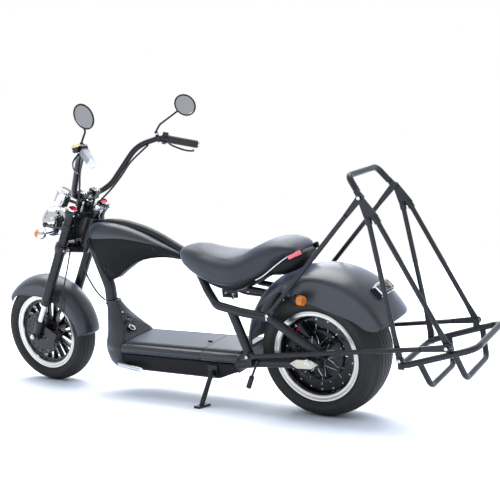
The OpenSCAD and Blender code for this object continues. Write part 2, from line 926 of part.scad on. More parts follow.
// Fork crown at a height, bored for legs and stem
module crown(height, thick) {
    translate([0, 0, height - thick / 2])
        difference() {
            union() {
                for (s = [-1, 1])
                    translate([0, s * fork_half, 0]) cylinder(d = upper_d + 16, h = thick);
                translate([-fork_offset, 0, 0]) cylinder(d = stem_d + 16, h = thick);
                linear_extrude(thick)
                    polygon([[-59, 6], [-14, 102], [14, 97], [14, -97], [-14, -102], [-59, -6]]);
            }
            for (s = [-1, 1])
                translate([0, s * fork_half, -1]) cylinder(d = upper_d + 2 * fit, h = thick + 2);
            translate([-fork_offset, 0, -1]) cylinder(d = stem_d + 2 * fit, h = thick + 2);
        }
}

module fork_clamps() {
    color("#1b1c1e")
        at_fork() {
            crown(clamp_low, clamp_t);
            crown(clamp_high - 2, clamp_t - 6);
        }
}

module fork_tubes() {
    color("#1d1f22")
        at_fork()
            both_sides()
                translate([0, fork_half, 0])
                    difference() {
                        union() {
                            translate([0, 0, tube_low])
                                cylinder(d = fork_d, h = clamp_low - clamp_t / 2 - fit - tube_low);
                            translate([0, 0, tube_low]) cylinder(d = fork_d + 3, h = 14);
                            translate([0, 0, tube_low]) cylinder(d = upper_d, h = fork_top - tube_low);
                        }
                        translate([0, 0, tube_low - 1]) cylinder(d = stanchion_d + 2 * fit, h = 61);
                    }
}

module stanchions() {
    color("#d0d3d7")
        at_fork()
            both_sides()
                translate([0, fork_half, foot_top - 20])
                    cylinder(d = stanchion_d, h = tube_low - foot_top + 60);
}

module fork_feet() {
    color("#1b1c1e")
        at_fork() {
            translate([-96, 83 + fit, 18]) cube([82, 9, 44]);
            both_sides()
                translate([0, fork_half, 0])
                    difference() {
                        union() {
                            rotate([90, 0, 0]) cylinder(d = 44, h = 30, center = true);
                            cylinder(d = stanchion_d + 12, h = foot_top);
                            translate([-15, -15, 0]) cube([30, 30, 40]);
                        }
                        rotate([90, 0, 0]) cylinder(d = axle_d + 2 * fit, h = 60, center = true);
                        translate([0, 0, foot_top - 20 - fit]) cylinder(d = stanchion_d + 2 * fit, h = 30);
                    }
        }
}

module fork_caps() {
    color("#b0202c")
        at_fork()
            both_sides()
                translate([0, fork_half, fork_top + fit]) {
                    cylinder(d = upper_d - 2, h = 5);
                    cylinder(d = upper_d - 8, h = 11);
                }
}

module front_axle() {
    color("#c9ccd0") {
        pin_y([wheelbase, 0, front_axle_z], axle_d, 2 * fork_half + 60);
        both_sides()
            translate([wheelbase, fork_half + (stanchion_d + 12) / 2 + fit, front_axle_z])
                rotate([-90, 0, 0]) cylinder(d = 24, h = 9, $fn = 6);
    }
}

module front_caliper() {
    color("#1b1c1e")
        at_fork()
            difference() {
                translate([-84, 66, 40]) cube([34, 34, 60], center = true);
                pin_y([0, 60, 0], front_disc_d + 4, 9);
            }
}

module front_fender() {
    color("#3a3f47") {
        intersection() {
            translate([wheelbase, 0, front_axle_z]) fender_shell(256, 66, 3, 175);
            translate([wheelbase, 0, front_axle_z])
                across([[300, 150], [200, 168], [48, 172], [0, 172], [-120, 130], [-240, 0],
                    [-300, 0], [-300, 300], [300, 300]], 140);
        }
        at_fork()
            both_sides()
                translate([-8, 67, 190]) cube([16, fork_half - fork_d / 2 - 67 - fit, 40]);
    }
}

module risers() {
    color("#1b1c1e")
        at_fork()
            both_sides()
                difference() {
                    union() {
                        translate([bar_fore, 40, clamp_high + 8 + fit])
                            cylinder(d = 26, h = bar_rise - clamp_high - 10);
                        translate([bar_fore, 40, bar_rise]) cube([38, 28, 36], center = true);
                    }
                    translate([bar_fore, 40, bar_rise])
                        rotate([90, 0, 0]) cylinder(d = bar_d + 2 * fit, h = 60, center = true);
                }
}

module handlebar() {
    left = concat(
        [for (i = [1 : len(bar_path) - 2]) bar_path[i]],
        [grip_end - grip_run * (6 + fit)]
    );
    whole = concat([for (i = [len(left) - 1 : -1 : 0]) left[i]], flip(left));
    color("#1b1c1e") bent_tube(whole, bar_d, 26);
}

module grips() {
    color("#8f939b")
        both_sides()
            difference() {
                rod(grip_start + grip_run * 36, grip_end, grip_d);
                rod(grip_start, grip_end - grip_run * 6, bar_d + 2 * fit);
            }
}

module lever_sets() {
    color("#1b1c1e")
        both_sides() {
            difference() {
                rod(grip_start + grip_run * 9, grip_start + grip_run * 33, bar_d + 14);
                rod(grip_start, grip_start + grip_run * 36, bar_d + 2 * fit);
            }
            bent_tube(lever_path, lever_d, 16);
        }
}

// Mirror heads on bent stems
module mirrors() {
    head = [mirror_x, mirror_y, mirror_z];
    arm_run = unit(bar_path[4] - bar_path[3]);
    perch = bar_path[4] - arm_run * 16;
    perch_up = unit([0, 0, 1] - arm_run * arm_run[2]);
    color("#1b1c1e")
        both_sides() {
            rod(head - mirror_look * mirror_t, head, mirror_d);
            difference() {
                union() {
                    bent_tube([perch, perch + perch_up * 22, [812 + front_shift, 222, 1088],
                        head - mirror_look * (mirror_t - 4)],
                        9, 14);
                    rod(perch - arm_run * 7, perch + arm_run * 7, bar_d + 12);
                }
                rod(perch - arm_run * 12, perch + arm_run * 12, bar_d + 2 * fit);
            }
        }
}

module headlight() {
    color("#d9dbde")
        translate([1262 + front_shift, 0, 716]) rotate([0, 82, 0]) translate([0, 0, -46]) {
            cylinder(d1 = 84, d2 = headlight_d, h = 46);
            translate([0, 0, 46]) cylinder(d = headlight_d, h = 22);
        }
}

// Clamps on the fork tubes with arms to the headlight, the speedometer and the indicators
module lamp_brackets() {
    color("#1b1c1e") {
        at_fork()
            both_sides()
                difference() {
                    union() {
                        translate([0, fork_half, 536]) cylinder(d = upper_d + 10, h = 36);
                        translate([6, fork_half - 26, 540]) cube([120, 6, 28]);
                    }
                    translate([0, fork_half, 530]) cylinder(d = upper_d + 2 * fit, h = 60);
                }
        both_sides() translate([front_shift, 0, 0]) {
            translate([1196, 0, 690]) rotate([-90, 0, 0]) translate([0, 0, 71]) cylinder(d = 26, h = 14);
            translate([1262, headlight_d / 2 + fit, 716]) rotate([-90, 0, 0]) cylinder(d = 20, h = 12);
            translate([1190, 71, 680]) cube([78, 6, 46]);
        }
        difference() {
            translate([front_shift, 0, 0]) rod([1074, 0, 774], [1190, 0, 815], 16);
            speedometer_shape(2 * fit);
            at_fork() translate([-60, -40, clamp_high - 40]) cube([74 + fit, 80, 70]);
        }
    }
}

module speedometer_shape(grow = 0) {
    rod([1220 + front_shift, 0, 792], [1180 + front_shift, 0, 848], 70 + grow);
}

module speedometer() {
    color("#d9dbde") speedometer_shape();
}

module front_indicators() {
    color("#c9ccd0")
        both_sides() translate([front_shift, 0, 0]) {
            rod([1196, 85.3, 690], [1200, 156, 692], 12);
            rod([1178, 156, 684], [1222, 168, 700], 38);
        }
}

module bar_cables() {
    color("#151617")
        both_sides()
            bent_tube(shifted([[872, 196, 1004], [975, 132, 892], [1069, 58, 784]]), 8, 60);
}

// Wheels

module front_tyre() {
    color("#232426") translate([wheelbase, 0, front_axle_z])
        tyre(front_r, front_tyre_w, front_crown, 4 * lean, front_rim_w);
}

module front_rim() {
    color("#c3c4c6") translate([wheelbase, 0, front_axle_z]) rim(front_rim_w, bead_r - 10);
}

module front_spokes() {
    hub_r = 34;
    spoke_r = bead_r - 10 - fit;
    color("#1b1c1e")
        translate([wheelbase, 0, front_axle_z])
            rotate([90, 0, 0])
                difference() {
                    union() {
                        cylinder(r = hub_r, h = 116, center = true);
                        difference() {
                            cylinder(r = spoke_r, h = 40, center = true);
                            cylinder(r = spoke_r - 8, h = 42, center = true);
                        }
                        for (i = [0 : spoke_count - 1])
                            rotate([0, 0, i * 360 / spoke_count]) {
                                translate([hub_r - 6, -7, -13]) cube([52, 14, 26]);
                                for (s = [-1, 1])
                                    translate([hub_r + 40, 0, 0])
                                        rotate([0, 0, 17 * s]) translate([0, -4, -11]) cube([74, 8, 22]);
                            }
                    }
                    cylinder(d = axle_d + 2 * fit, h = 120, center = true);
                    difference() {
                        cylinder(r = spoke_r + 40, h = 60, center = true);
                        cylinder(r = spoke_r, h = 62, center = true);
                    }
                }
}

module front_disc() {
    color("#232426") translate([wheelbase, 58 + fit + 2, front_axle_z]) brake_disc(front_disc_d, 28, 4, 18);
}

module rear_tyre() {
    color("#232426") translate([0, 0, rear_axle_z])
        tyre(rear_r, rear_tyre_w, rear_crown, 2 * lean, rear_rim_w);
}

module rear_rim() {
    color("#c3c4c6") translate([0, 0, rear_axle_z]) rim(rear_rim_w, bead_r - 8);
}

module hub_motor() {
    color("#1b1c1e")
        translate([0, 0, rear_axle_z])
            rotate([90, 0, 0])
                difference() {
                    union() {
                        cylinder(r = bead_r - 8 - fit, h = 130, center = true, $fn = 96);
                        cylinder(r = 62, h = 158, center = true);
                    }
                    cylinder(d = axle_d + 2 * fit, h = 180, center = true);
                }
}

module rear_disc() {
    color("#3a3b3e") translate([0, 79 + fit + 2.5, rear_axle_z]) brake_disc(rear_disc_d, 40, 5, 20);
}

// Side stand: leg out and down to a foot that lies flat on the floor
module side_stand() {
    foot = [458, stand_foot_y, floor_z(stand_foot_y) + 8];
    color("#1b1c1e") {
        difference() {
            union() {
                rod(stand_pivot, foot, stand_d);
                rod(stand_pivot - stand_axis * 7, stand_pivot + stand_axis * 7, 28);
            }
            rod(stand_pivot - stand_axis * 30, stand_pivot + stand_axis * 30, stand_pin_d + 0.2);
        }
        translate([foot[0], foot[1], floor_z(foot[1])])
            rotate([lean, 0, 0]) translate([-13, -40, 0]) cube([26, 74, 9]);
    }
}

park() spine_tube();
park() down_tube();
park() seat_rails();
park() seat_struts();
park() lower_tubes();
park() rear_plate();
park() tank_cover();
park() deck_tub();
park() battery();
park() deck_lid();
park() deck_tail();
park() deck_nose();
park() seat();
park() seat_pan();
park() rear_fender();
park() fender_bar();
park() tail_light();
park() rear_indicators();
park() axle_covers();
park() rear_axle();
park() rear_caliper();
park() foot_pegs();
park() drop_pegs();
park() stand_bracket();
park() locks();
park() frame_hose();
park() rack_loop();
park() rack_hoops();
park() rack_legs();
park() rack_fittings();
park() rack_handle();
park() rack_stays();
park() steering_stem();
park() fork_clamps();
park() fork_tubes();
park() stanchions();
park() fork_feet();
park() fork_caps();
park() front_axle();
park() front_caliper();
park() front_fender();
park() risers();
park() handlebar();
park() grips();
park() lever_sets();
park() mirrors();
park() headlight();
park() lamp_brackets();
park() speedometer();
park() front_indicators();
park() bar_cables();
park() front_tyre();
park() front_rim();
park() front_spokes();
park() front_disc();
park() rear_tyre();
park() rear_rim();
park() hub_motor();
park() rear_disc();
park() side_stand();
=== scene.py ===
from math import copysign, cos, exp, hypot, pi, radians, sin, sqrt, tan

import bmesh
import bpy
from mathutils import Matrix, Vector


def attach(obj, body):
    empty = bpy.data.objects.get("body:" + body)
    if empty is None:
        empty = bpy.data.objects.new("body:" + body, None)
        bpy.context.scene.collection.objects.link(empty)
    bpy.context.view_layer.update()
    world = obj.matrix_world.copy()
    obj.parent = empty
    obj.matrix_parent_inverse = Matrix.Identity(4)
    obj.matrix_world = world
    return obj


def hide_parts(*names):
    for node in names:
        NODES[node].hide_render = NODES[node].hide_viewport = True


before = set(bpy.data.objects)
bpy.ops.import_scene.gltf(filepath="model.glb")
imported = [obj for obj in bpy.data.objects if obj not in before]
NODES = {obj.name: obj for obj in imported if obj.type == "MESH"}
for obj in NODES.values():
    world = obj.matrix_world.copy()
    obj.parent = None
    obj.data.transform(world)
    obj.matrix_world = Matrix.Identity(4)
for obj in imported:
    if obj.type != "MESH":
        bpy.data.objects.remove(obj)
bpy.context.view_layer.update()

# The scooter is modelled upright, in millimetres: x forward, y left, z up from the ground
# line under the rear axle. PARK leans it on its stand, over the middle of its own box.
LEAN = radians(10.8)
RAKE = radians(29.4)
PARK = (
    Matrix.Translation((-0.49925, -0.196274, 0.00407393))
    @ Matrix.Rotation(-LEAN, 4, "X")
    @ Matrix.Scale(0.001, 4)
)
FRONT_AXLE = Vector((1380, 0, 226.705))
REAR_AXLE = Vector((0, 0, 238.5))
# Frame of the fork: z up along the legs from the front axle, x forward
FORK = Matrix.Translation(FRONT_AXLE) @ Matrix.Rotation(-RAKE, 4, "Y")
MIRROR_Y = Matrix.Scale(-1, 4, (0, 1, 0))
LEG_Y = 97

REAR_TYRE, FRONT_TYRE = 238.5, 229.5
BEAD, RIM = 152.5, 168
REAR_RIM_HALF, FRONT_RIM_HALF = 95, 42


# Shapes


def smooth_path(points, per=6):
    """Points on a smooth curve through the given ones."""
    p = [Vector(q) for q in points]
    p = [2 * p[0] - p[1]] + p + [2 * p[-1] - p[-2]]
    out = []
    for i in range(1, len(p) - 2):
        a, b, c, d = p[i - 1 : i + 3]
        for k in range(per):
            t = k / per
            cubic = (3 * b - 3 * c + d - a) * t**3
            out.append(0.5 * (2 * b + (c - a) * t + (2 * a - 5 * b + 4 * c - d) * t * t + cubic))
    out.append(p[-2])
    return out


def bent_path(points, radius, per=7):
    """Straight runs joined by round bends. radius is one number or one for each point."""
    p = [Vector(q) for q in points]
    radii = radius if isinstance(radius, list) else [radius] * len(p)
    out = [p[0]]
    for a, b, c, radius in zip(p, p[1:], p[2:], radii[1:]):
        u, v = (b - a).normalized(), (c - b).normalized()
        bend = u.angle(v)
        centre = b + (v - u).normalized() * radius / cos(bend / 2)
        start = b - u * radius * tan(bend / 2) - centre
        for k in range(per + 1):
            out.append(centre + Matrix.Rotation(bend * k / per, 3, u.cross(v)) @ start)
    out.append(p[-1])
    return out


def place(origin, direction, about=(0, 0, 1)):
    """Matrix that puts local z along direction at origin, and local x near about."""
    z = Vector(direction).normalized()
    x = Vector(about)
    x = x - z * x.dot(z)
    if x.length < 1e-4:
        x = Vector((1, 0, 0)) - z * z.x
    x.normalize()
    y = z.cross(x)
    m = Matrix((x, y, z)).transposed().to_4x4()
    return Matrix.Translation(origin) @ m


def shift(x, y, z):
    return Matrix.Translation((x, y, z))


def turn(degrees, axis="Z"):
    return Matrix.Rotation(radians(degrees), 4, axis)


def merged(bm, part):
    """Adds a finished part to a mesh."""
    mesh = bpy.data.meshes.new("part")
    part.to_mesh(mesh)
    part.free()
    bm.from_mesh(mesh)
    bpy.data.meshes.remove(mesh)


def loft(bm, rings, caps=True, at=Matrix()):
    """Skin over rows of points: a grid laid on them, welded where its sides meet."""
    cols, rows = len(rings[0]), len(rings)
    wide = cols + 1
    part = bmesh.new()
    grid = bmesh.ops.create_grid(part, x_segments=wide - 1, y_segments=rows - 1, size=1)["verts"]
    for k, vert in enumerate(grid):
        vert.co = at @ Vector(rings[k // wide][k % wide % cols])
    bmesh.ops.remove_doubles(part, verts=part.verts, dist=1e-4)
    if caps:
        bmesh.ops.holes_fill(part, edges=[e for e in part.edges if e.is_boundary], sides=0)
    merged(bm, part)


def tube(bm, path, radius, seg=20, closed=False, flat=1.0, at=Matrix()):
    """Round bar along a path. radius is one number or one for each point; flat squeezes it."""
    p = [Vector(q) for q in path]
    n = len(p)
    radii = radius if isinstance(radius, (list, tuple)) else [radius] * n
    rings = []
    normal = None
    for i in range(n):
        if closed:
            t = (p[(i + 1) % n] - p[i - 1]).normalized()
        else:
            t = (p[min(i + 1, n - 1)] - p[max(i - 1, 0)]).normalized()
        if normal is None:
            normal = t.orthogonal() if abs(t.y) > 0.95 else Vector((0, 1, 0)) - t * t.y
            normal.normalize()
        normal = (normal - t * normal.dot(t)).normalized()
        side = t.cross(normal)
        rings.append([
            p[i] + radii[i] * (normal * cos(a) + side * sin(a) * flat)
            for a in (2 * pi * k / seg for k in range(seg))
        ])
    if closed:
        rings.append(rings[0])
    loft(bm, rings, not closed, at)


def lathe(bm, profile, at, seg=48):
    """Turns (radius, height) pairs about local z of at."""
    part = bmesh.new()
    made = [part.verts.new((r, 0, h)) for r, h in profile]
    edges = [part.edges.new(pair) for pair in zip(made, made[1:])]
    bmesh.ops.spin(part, geom=made + edges, cent=(0, 0, 0), axis=(0, 0, 1), angle=2 * pi, steps=seg,
                   use_merge=True)
    bmesh.ops.remove_doubles(part, verts=part.verts, dist=1e-4)
    bmesh.ops.transform(part, matrix=at, verts=part.verts)
    merged(bm, part)


def block(bm, size, at, bevel=0.0, segments=2):
    """Box about local zero, with rounded edges."""
    made = bmesh.ops.create_cube(bm, size=1.0, matrix=at @ Matrix.Diagonal((*size, 1)))
    if bevel:
        edges = {e for v in made["verts"] for e in v.link_edges}
        bmesh.ops.bevel(bm, geom=list(edges), offset=bevel, segments=segments, affect="EDGES", profile=0.5,
                        material=-1)


def plate(bm, outline, thick, at, bevel=0.0):
    """Flat plate: outline in local x and y, thick along z about zero."""
    part = bmesh.new()
    face = part.faces.new([part.verts.new((x, y, -thick / 2)) for x, y in outline])
    grown = bmesh.ops.extrude_face_region(part, geom=[face], use_keep_orig=True)["geom"]
    top = [g for g in grown if isinstance(g, bmesh.types.BMVert)]
    bmesh.ops.translate(part, verts=top, vec=(0, 0, thick))
    if bevel:
        edges = [e for e in part.edges if all(v in top for v in e.verts)]
        bmesh.ops.bevel(part, geom=edges, offset=bevel, segments=2, affect="EDGES", profile=0.5, material=-1)
    bmesh.ops.transform(part, matrix=at, verts=part.verts)
    merged(bm, part)


def bolt(bm, at, r=4.0, h=4.0):
    """Round socket head."""
    lathe(bm, [(r * 1.35, 0), (r * 1.35, 0.8), (r, 0.8), (r, h - 0.7), (r - 0.7, h), (r * 0.55, h),
               (r * 0.5, h * 0.45), (0, h * 0.4)], at, 20)


def hex_nut(bm, at, r=7.0, h=6.0):
    """Hexagon nut on a washer, with a domed end."""
    lathe(bm, [(0, 0), (r * 1.25, 0), (r * 1.25, 1.2), (0, 1.2)], at, 28)
    lathe(bm, [(r, 1.2), (r, h - 1), (r * 0.86, h), (0, h)], at, 6)
    lathe(bm, [(r * 0.45, h), (r * 0.45, h + 2.4), (r * 0.3, h + 3.4), (0, h + 3.6)], at, 16)


def both(build, bm):
    """Runs a builder for the left and, mirrored, for the right."""
    part = bmesh.new()
    build(part)
    made = bmesh.ops.duplicate(part, geom=part.verts[:] + part.edges[:] + part.faces[:])["geom"]
    bmesh.ops.transform(part, matrix=MIRROR_Y, verts=[g for g in made if isinstance(g, bmesh.types.BMVert)])
    merged(bm, part)


def piece(name, body, bm, finish, angle=38, replaces=()):
    """Makes the object of a mesh built upright, parks it and lets it ride on its body."""
    bmesh.ops.transform(bm, matrix=PARK, verts=bm.verts)
    bmesh.ops.recalc_face_normals(bm, faces=bm.faces)
    limit = radians(angle)
    for f in bm.faces:
        f.smooth = True
    for e in bm.edges:
        e.smooth = len(e.link_faces) == 2 and e.calc_face_angle(0.0) < limit
    mesh = bpy.data.meshes.new(name)
    bm.to_mesh(mesh)
    bm.free()
    obj = bpy.data.objects.new(name, mesh)
    bpy.context.scene.collection.objects.link(obj)
    mesh.materials.append(M[finish])
    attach(obj, body)
    if replaces:
        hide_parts(*replaces)
    return obj


def turned(name, body, profile, at, seg, finish, angle=38, replaces=(), twin=False):
    """Piece made of one turned profile, or of two with its mirror image."""
    bm = bmesh.new()
    if twin:
        both(lambda part: lathe(part, profile, at, seg), bm)
    else:
        lathe(bm, profile, at, seg)
    piece(name, body, bm, finish, angle, replaces)


def pair(name, body, build, finish, angle=38, replaces=()):
    """Piece built on the left and mirrored to the right."""
    bm = bmesh.new()
    both(build, bm)
    piece(name, body, bm, finish, angle, replaces)


def blocks(name, body, at, rows, finish, angle=38, replaces=()):
    """Piece made of boxes: size, place, and radius and steps of the rounding of each."""
    bm = bmesh.new()
    for size, where, *rounding in rows:
        block(bm, size, at @ shift(*where), *rounding)
    piece(name, body, bm, finish, angle, replaces)


# Finishes


class Nodes:
    """Short way to build a node material."""

    def __init__(self, name):
        self.mat = bpy.data.materials.new(name)
        self.mat.use_nodes = True
        self.tree = self.mat.node_tree
        self.shader = self.tree.nodes["Principled BSDF"]
        self.coords = self.add("ShaderNodeTexCoord").outputs["Object"]

    def add(self, kind, **values):
        node = self.tree.nodes.new(kind)
        for key, value in values.items():
            if key in node.inputs:
                node.inputs[key].default_value = value
            else:
                setattr(node, key, value)
        return node

    def link(self, a, b):
        self.tree.links.new(a, b)

    def fix(self, values):
        """Numbers that are the same over the whole surface."""
        for key, value in values.items():
            self.shader.inputs[key].default_value = value

    def vector(self, operation, source, value):
        node = self.add("ShaderNodeVectorMath", operation=operation)
        self.link(source, node.inputs[0])
        node.inputs[1].default_value = value
        return node.outputs

    def noise(self, scale, detail=3.0, rough=0.55, vector=None):
        node = self.add("ShaderNodeTexNoise", Scale=scale, Detail=detail, Roughness=rough)
        self.link(vector or self.coords, node.inputs["Vector"])
        return node.outputs["Fac"]

    def ramp(self, source, stops):
        node = self.add("ShaderNodeValToRGB")
        self.link(source, node.inputs["Fac"])
        bar = node.color_ramp.elements
        while len(bar) < len(stops):
            bar.new(0.5)
        for e, (at, value) in zip(bar, stops):
            e.position = at
            e.color = value if isinstance(value, tuple) else (value, value, value, 1)
        return node.outputs["Color"]

    def span(self, source, low, high):
        node = self.add("ShaderNodeMapRange")
        self.link(source, node.inputs["Value"])
        node.inputs["To Min"].default_value = low
        node.inputs["To Max"].default_value = high
        return node.outputs["Result"]

    def mix(self, a, b, factor, blend="MIX"):
        node = self.add("ShaderNodeMix", data_type="RGBA", blend_type=blend)
        for socket, value in (("A", a), ("B", b)):
            slot_in = [s for s in node.inputs if s.name == socket and s.type == "RGBA"][0]
            if isinstance(value, tuple):
                slot_in.default_value = value
            else:
                self.link(value, slot_in)
        if isinstance(factor, float):
            node.inputs["Factor"].default_value = factor
        else:
            self.link(factor, node.inputs["Factor"])
        return [s for s in node.outputs if s.type == "RGBA"][0]

    def bump(self, height, strength, distance, normal=None):
        node = self.add("ShaderNodeBump", Strength=strength, Distance=distance)
        self.link(height, node.inputs["Height"])
        if normal is not None:
            self.link(normal, node.inputs["Normal"])
        return node.outputs["Normal"]


def shade(colour, share=1.0):
    """Colour with its alpha, darkened or lightened."""
    return (*(c * share for c in colour), 1.0)


def finish_of(name, colour, rough, metal=0.0, spread=0.08, tint=0.12, grain=(900.0, 0.12, 0.0002),
              dust=0.0, coat=0.0, coat_rough=0.1, specular=0.5, sheen=0.0):
    """Painted, cast or moulded surface: uneven gloss, faint tint, fine grain and a little dust."""
    n = Nodes(name)
    s = n.shader
    broad = n.noise(7.0, 4.0)
    fine = n.noise(160.0, 5.0)
    base = n.mix(shade(colour, 1 - tint), shade(colour, 1 + tint), broad)
    if dust:
        specks = n.ramp(n.noise(260.0, 6.0, 0.7), [(0.52, 0.0), (0.78, dust)])
        base = n.mix(base, shade((0.23, 0.215, 0.19)), specks)
    n.link(base, s.inputs["Base Color"])
    mixed = n.mix(broad, fine, 0.4)
    n.link(n.span(mixed, rough - spread, rough + spread), s.inputs["Roughness"])
    n.fix({"Metallic": metal, "Specular IOR Level": specular, "Coat Weight": coat, "Coat Roughness": coat_rough,
           "Sheen Weight": sheen, "Sheen Roughness": 0.35, "Sheen Tint": shade((0.62, 0.76, 1.0))})
    if grain:
        n.link(n.bump(n.noise(grain[0], 3.0), grain[1], grain[2]), s.inputs["Normal"])
    return n.mat


def metal_of(name, colour, rough, scratch=0.05, stretch=(1.0, 1.0, 1.0), scale=220.0, bump=0.03):
    """Bare or plated metal with fine marks, drawn out along one direction."""
    n = Nodes(name)
    s = n.shader
    mapping = n.add("ShaderNodeMapping")
    mapping.inputs["Scale"].default_value = stretch
    n.link(n.coords, mapping.inputs["Vector"])
    marks = n.noise(scale, 6.0, 0.65, mapping.outputs["Vector"])
    smear = n.noise(11.0, 3.0)
    n.link(n.mix(shade(colour, 0.9), shade(colour), smear), s.inputs["Base Color"])
    n.link(n.span(n.mix(marks, smear, 0.45), rough - scratch, rough + scratch), s.inputs["Roughness"])
    n.fix({"Metallic": 1.0})
    n.link(n.bump(marks, bump, 0.0003), s.inputs["Normal"])
    return n.mat


def ring_metal(name, colour, rough, centre, axis_scale=900.0):
    """Lathe-turned metal: fine rings about a wheel's axle, along the upright frame's y."""
    n = Nodes(name)
    s = n.shader
    axis = (PARK.to_3x3() @ Vector((0, 1, 0))).normalized()
    around = n.vector("CROSS_PRODUCT", n.vector("SUBTRACT", n.coords, PARK @ Vector(centre))[0], axis)
    length = n.add("ShaderNodeVectorMath", operation="LENGTH")
    n.link(around[0], length.inputs[0])
    far = n.add("ShaderNodeMath", operation="MULTIPLY")
    n.link(length.outputs["Value"], far.inputs[0])
    far.inputs[1].default_value = axis_scale
    combine = n.add("ShaderNodeCombineXYZ")
    n.link(far.outputs[0], combine.inputs["X"])
    lines = n.noise(1.0, 4.0, 0.7, combine.outputs["Vector"])
    smear = n.noise(14.0, 3.0)
    n.link(n.mix(shade(colour, 0.82), shade(colour), n.mix(lines, smear, 0.5)), s.inputs["Base Color"])
    n.link(n.span(n.mix(lines, smear, 0.3), rough - 0.07, rough + 0.1), s.inputs["Roughness"])
    n.fix({"Metallic": 1.0})
    n.link(n.bump(lines, 0.15, 0.0002), s.inputs["Normal"])
    return n.mat


def clear_of(name, colour, rough, ribs=0.0, transmission=1.0):
    """Lens or glass, ribbed if asked."""
    n = Nodes(name)
    s = n.shader
    smear = n.noise(40.0, 3.0)
    n.link(n.mix(shade(colour, 0.93), shade(colour), smear), s.inputs["Base Color"])
    n.link(n.span(smear, max(rough - 0.02, 0.0), rough + 0.03), s.inputs["Roughness"])
    n.fix({"Transmission Weight": transmission, "IOR": 1.49})
    if ribs:
        wave = n.add("ShaderNodeTexWave", Scale=ribs, Distortion=0.0, bands_direction="Z")
        n.link(n.coords, wave.inputs["Vector"])
        n.link(n.bump(wave.outputs["Fac"], 0.4, 0.0006), s.inputs["Normal"])
    return n.mat


def hide_of(name, colour, rough):
    """Soft vinyl: pebbled grain over faint creases."""
    n = Nodes(name)
    s = n.shader
    broad = n.noise(9.0, 4.0)
    cells = n.add("ShaderNodeTexVoronoi", Scale=620.0, feature="SMOOTH_F1")
    n.link(n.coords, cells.inputs["Vector"])
    creases = n.noise(34.0, 5.0, 0.6)
    n.link(n.mix(shade(colour, 0.85), shade(colour, 1.2), broad), s.inputs["Base Color"])
    n.link(n.span(n.mix(broad, cells.outputs["Distance"], 0.4), rough - 0.07, rough + 0.09),
           s.inputs["Roughness"])
    soft = n.bump(creases, 0.12, 0.002)
    n.link(n.bump(cells.outputs["Distance"], 0.22, 0.0004, soft), s.inputs["Normal"])
    n.fix({"Specular IOR Level": 0.34, "Sheen Weight": 0.4, "Sheen Roughness": 0.4,
           "Sheen Tint": shade((0.66, 0.78, 1.0))})
    return n.mat


M = {
    "panel": finish_of("satin_panel", (0.016, 0.0185, 0.025), 0.37, spread=0.05, grain=(1500.0, 0.06, 0.0002),
                       dust=0.03, coat=0.12, coat_rough=0.2, specular=0.46, sheen=0.6),
    "frame": finish_of("powder_coat", (0.0085, 0.0092, 0.0115), 0.36, spread=0.06, grain=(1200.0, 0.12, 0.0002),
                       dust=0.03, coat=0.05, coat_rough=0.28, specular=0.32, sheen=0.2),
    "dark": finish_of("moulded_black", (0.0065, 0.0066, 0.0075), 0.5, grain=(700.0, 0.3, 0.0003), dust=0.04,
                      specular=0.18),
    # Darker, less glossy copy of the satin panel paint, with painted shade: it makes the under-facing tank
    # cheeks dark as if they were shaded.
    "under": finish_of("shade_painted_panel", (0.0045, 0.0046, 0.0052), 0.5, grain=(900.0, 0.2, 0.0002), dust=0.02,
                       specular=0.12),
    "gloss": finish_of("gloss_black", (0.0055, 0.0057, 0.0068), 0.24, spread=0.06, grain=(600.0, 0.05, 0.0002),
                       coat=0.12, coat_rough=0.1, specular=0.3),
    "rubber": finish_of("black_rubber", (0.008, 0.008, 0.0085), 0.6, grain=(420.0, 0.35, 0.0004), dust=0.08),
    "tyre": finish_of("tyre_rubber", (0.0125, 0.0122, 0.0122), 0.68, grain=(520.0, 0.4, 0.0005), dust=0.16,
                      specular=0.35),
    "rear_tread": finish_of("rear_tread_rubber", (0.014, 0.0132, 0.0125), 0.66, grain=(520.0, 0.4, 0.0005),
                            dust=0.22, specular=0.35),
    "grip": finish_of("silver_grip", (0.20, 0.215, 0.25), 0.42, grain=(120.0, 0.1, 0.0004), specular=0.6),
    "screw": finish_of("blackened_screw", (0.006, 0.006, 0.007), 0.32, grain=(500.0, 0.1, 0.0002), coat=0.3),
    "red": finish_of("red_anodised", (0.52, 0.012, 0.045), 0.24, metal=1.0, grain=(800.0, 0.05, 0.0002)),
    "red_paint": finish_of("reflector_red", (0.82, 0.13, 0.16), 0.2, grain=(500.0, 0.1, 0.0002), coat=0.6),
    "chrome": metal_of("chrome", (0.58, 0.59, 0.62), 0.11, 0.05),
    "steel": metal_of("bright_steel", (0.62, 0.63, 0.65), 0.24, 0.08, (1.0, 1.0, 9.0)),
    "stanchion": metal_of("ground_steel", (0.66, 0.66, 0.67), 0.2, 0.07, (1.0, 1.0, 14.0)),
    "champagne": metal_of("etched_alloy", (0.50, 0.46, 0.38), 0.36, 0.1, (3.0, 1.0, 1.0), 420.0, 0.35),
    "brass": metal_of("brass_lid", (0.60, 0.46, 0.20), 0.32, 0.08),
    "front_ring": ring_metal("turned_rim_front", (0.60, 0.59, 0.56), 0.27, FRONT_AXLE),
    "rear_ring": ring_metal("turned_rim_rear", (0.60, 0.59, 0.56), 0.27, REAR_AXLE),
    "disc": ring_metal("brake_steel", (0.07, 0.07, 0.075), 0.36, REAR_AXLE),
    "amber": clear_of("amber_lens", (0.98, 0.27, 0.02), 0.08, ribs=190.0, transmission=0.45),
    "lens": clear_of("clear_lens", (0.95, 0.97, 1.0), 0.02, transmission=0.95),
    "mirror": metal_of("mirror_glass", (0.36, 0.38, 0.41), 0.03, 0.02),
    "hide": hide_of("seat_hide", (0.019, 0.0215, 0.028), 0.42),
}

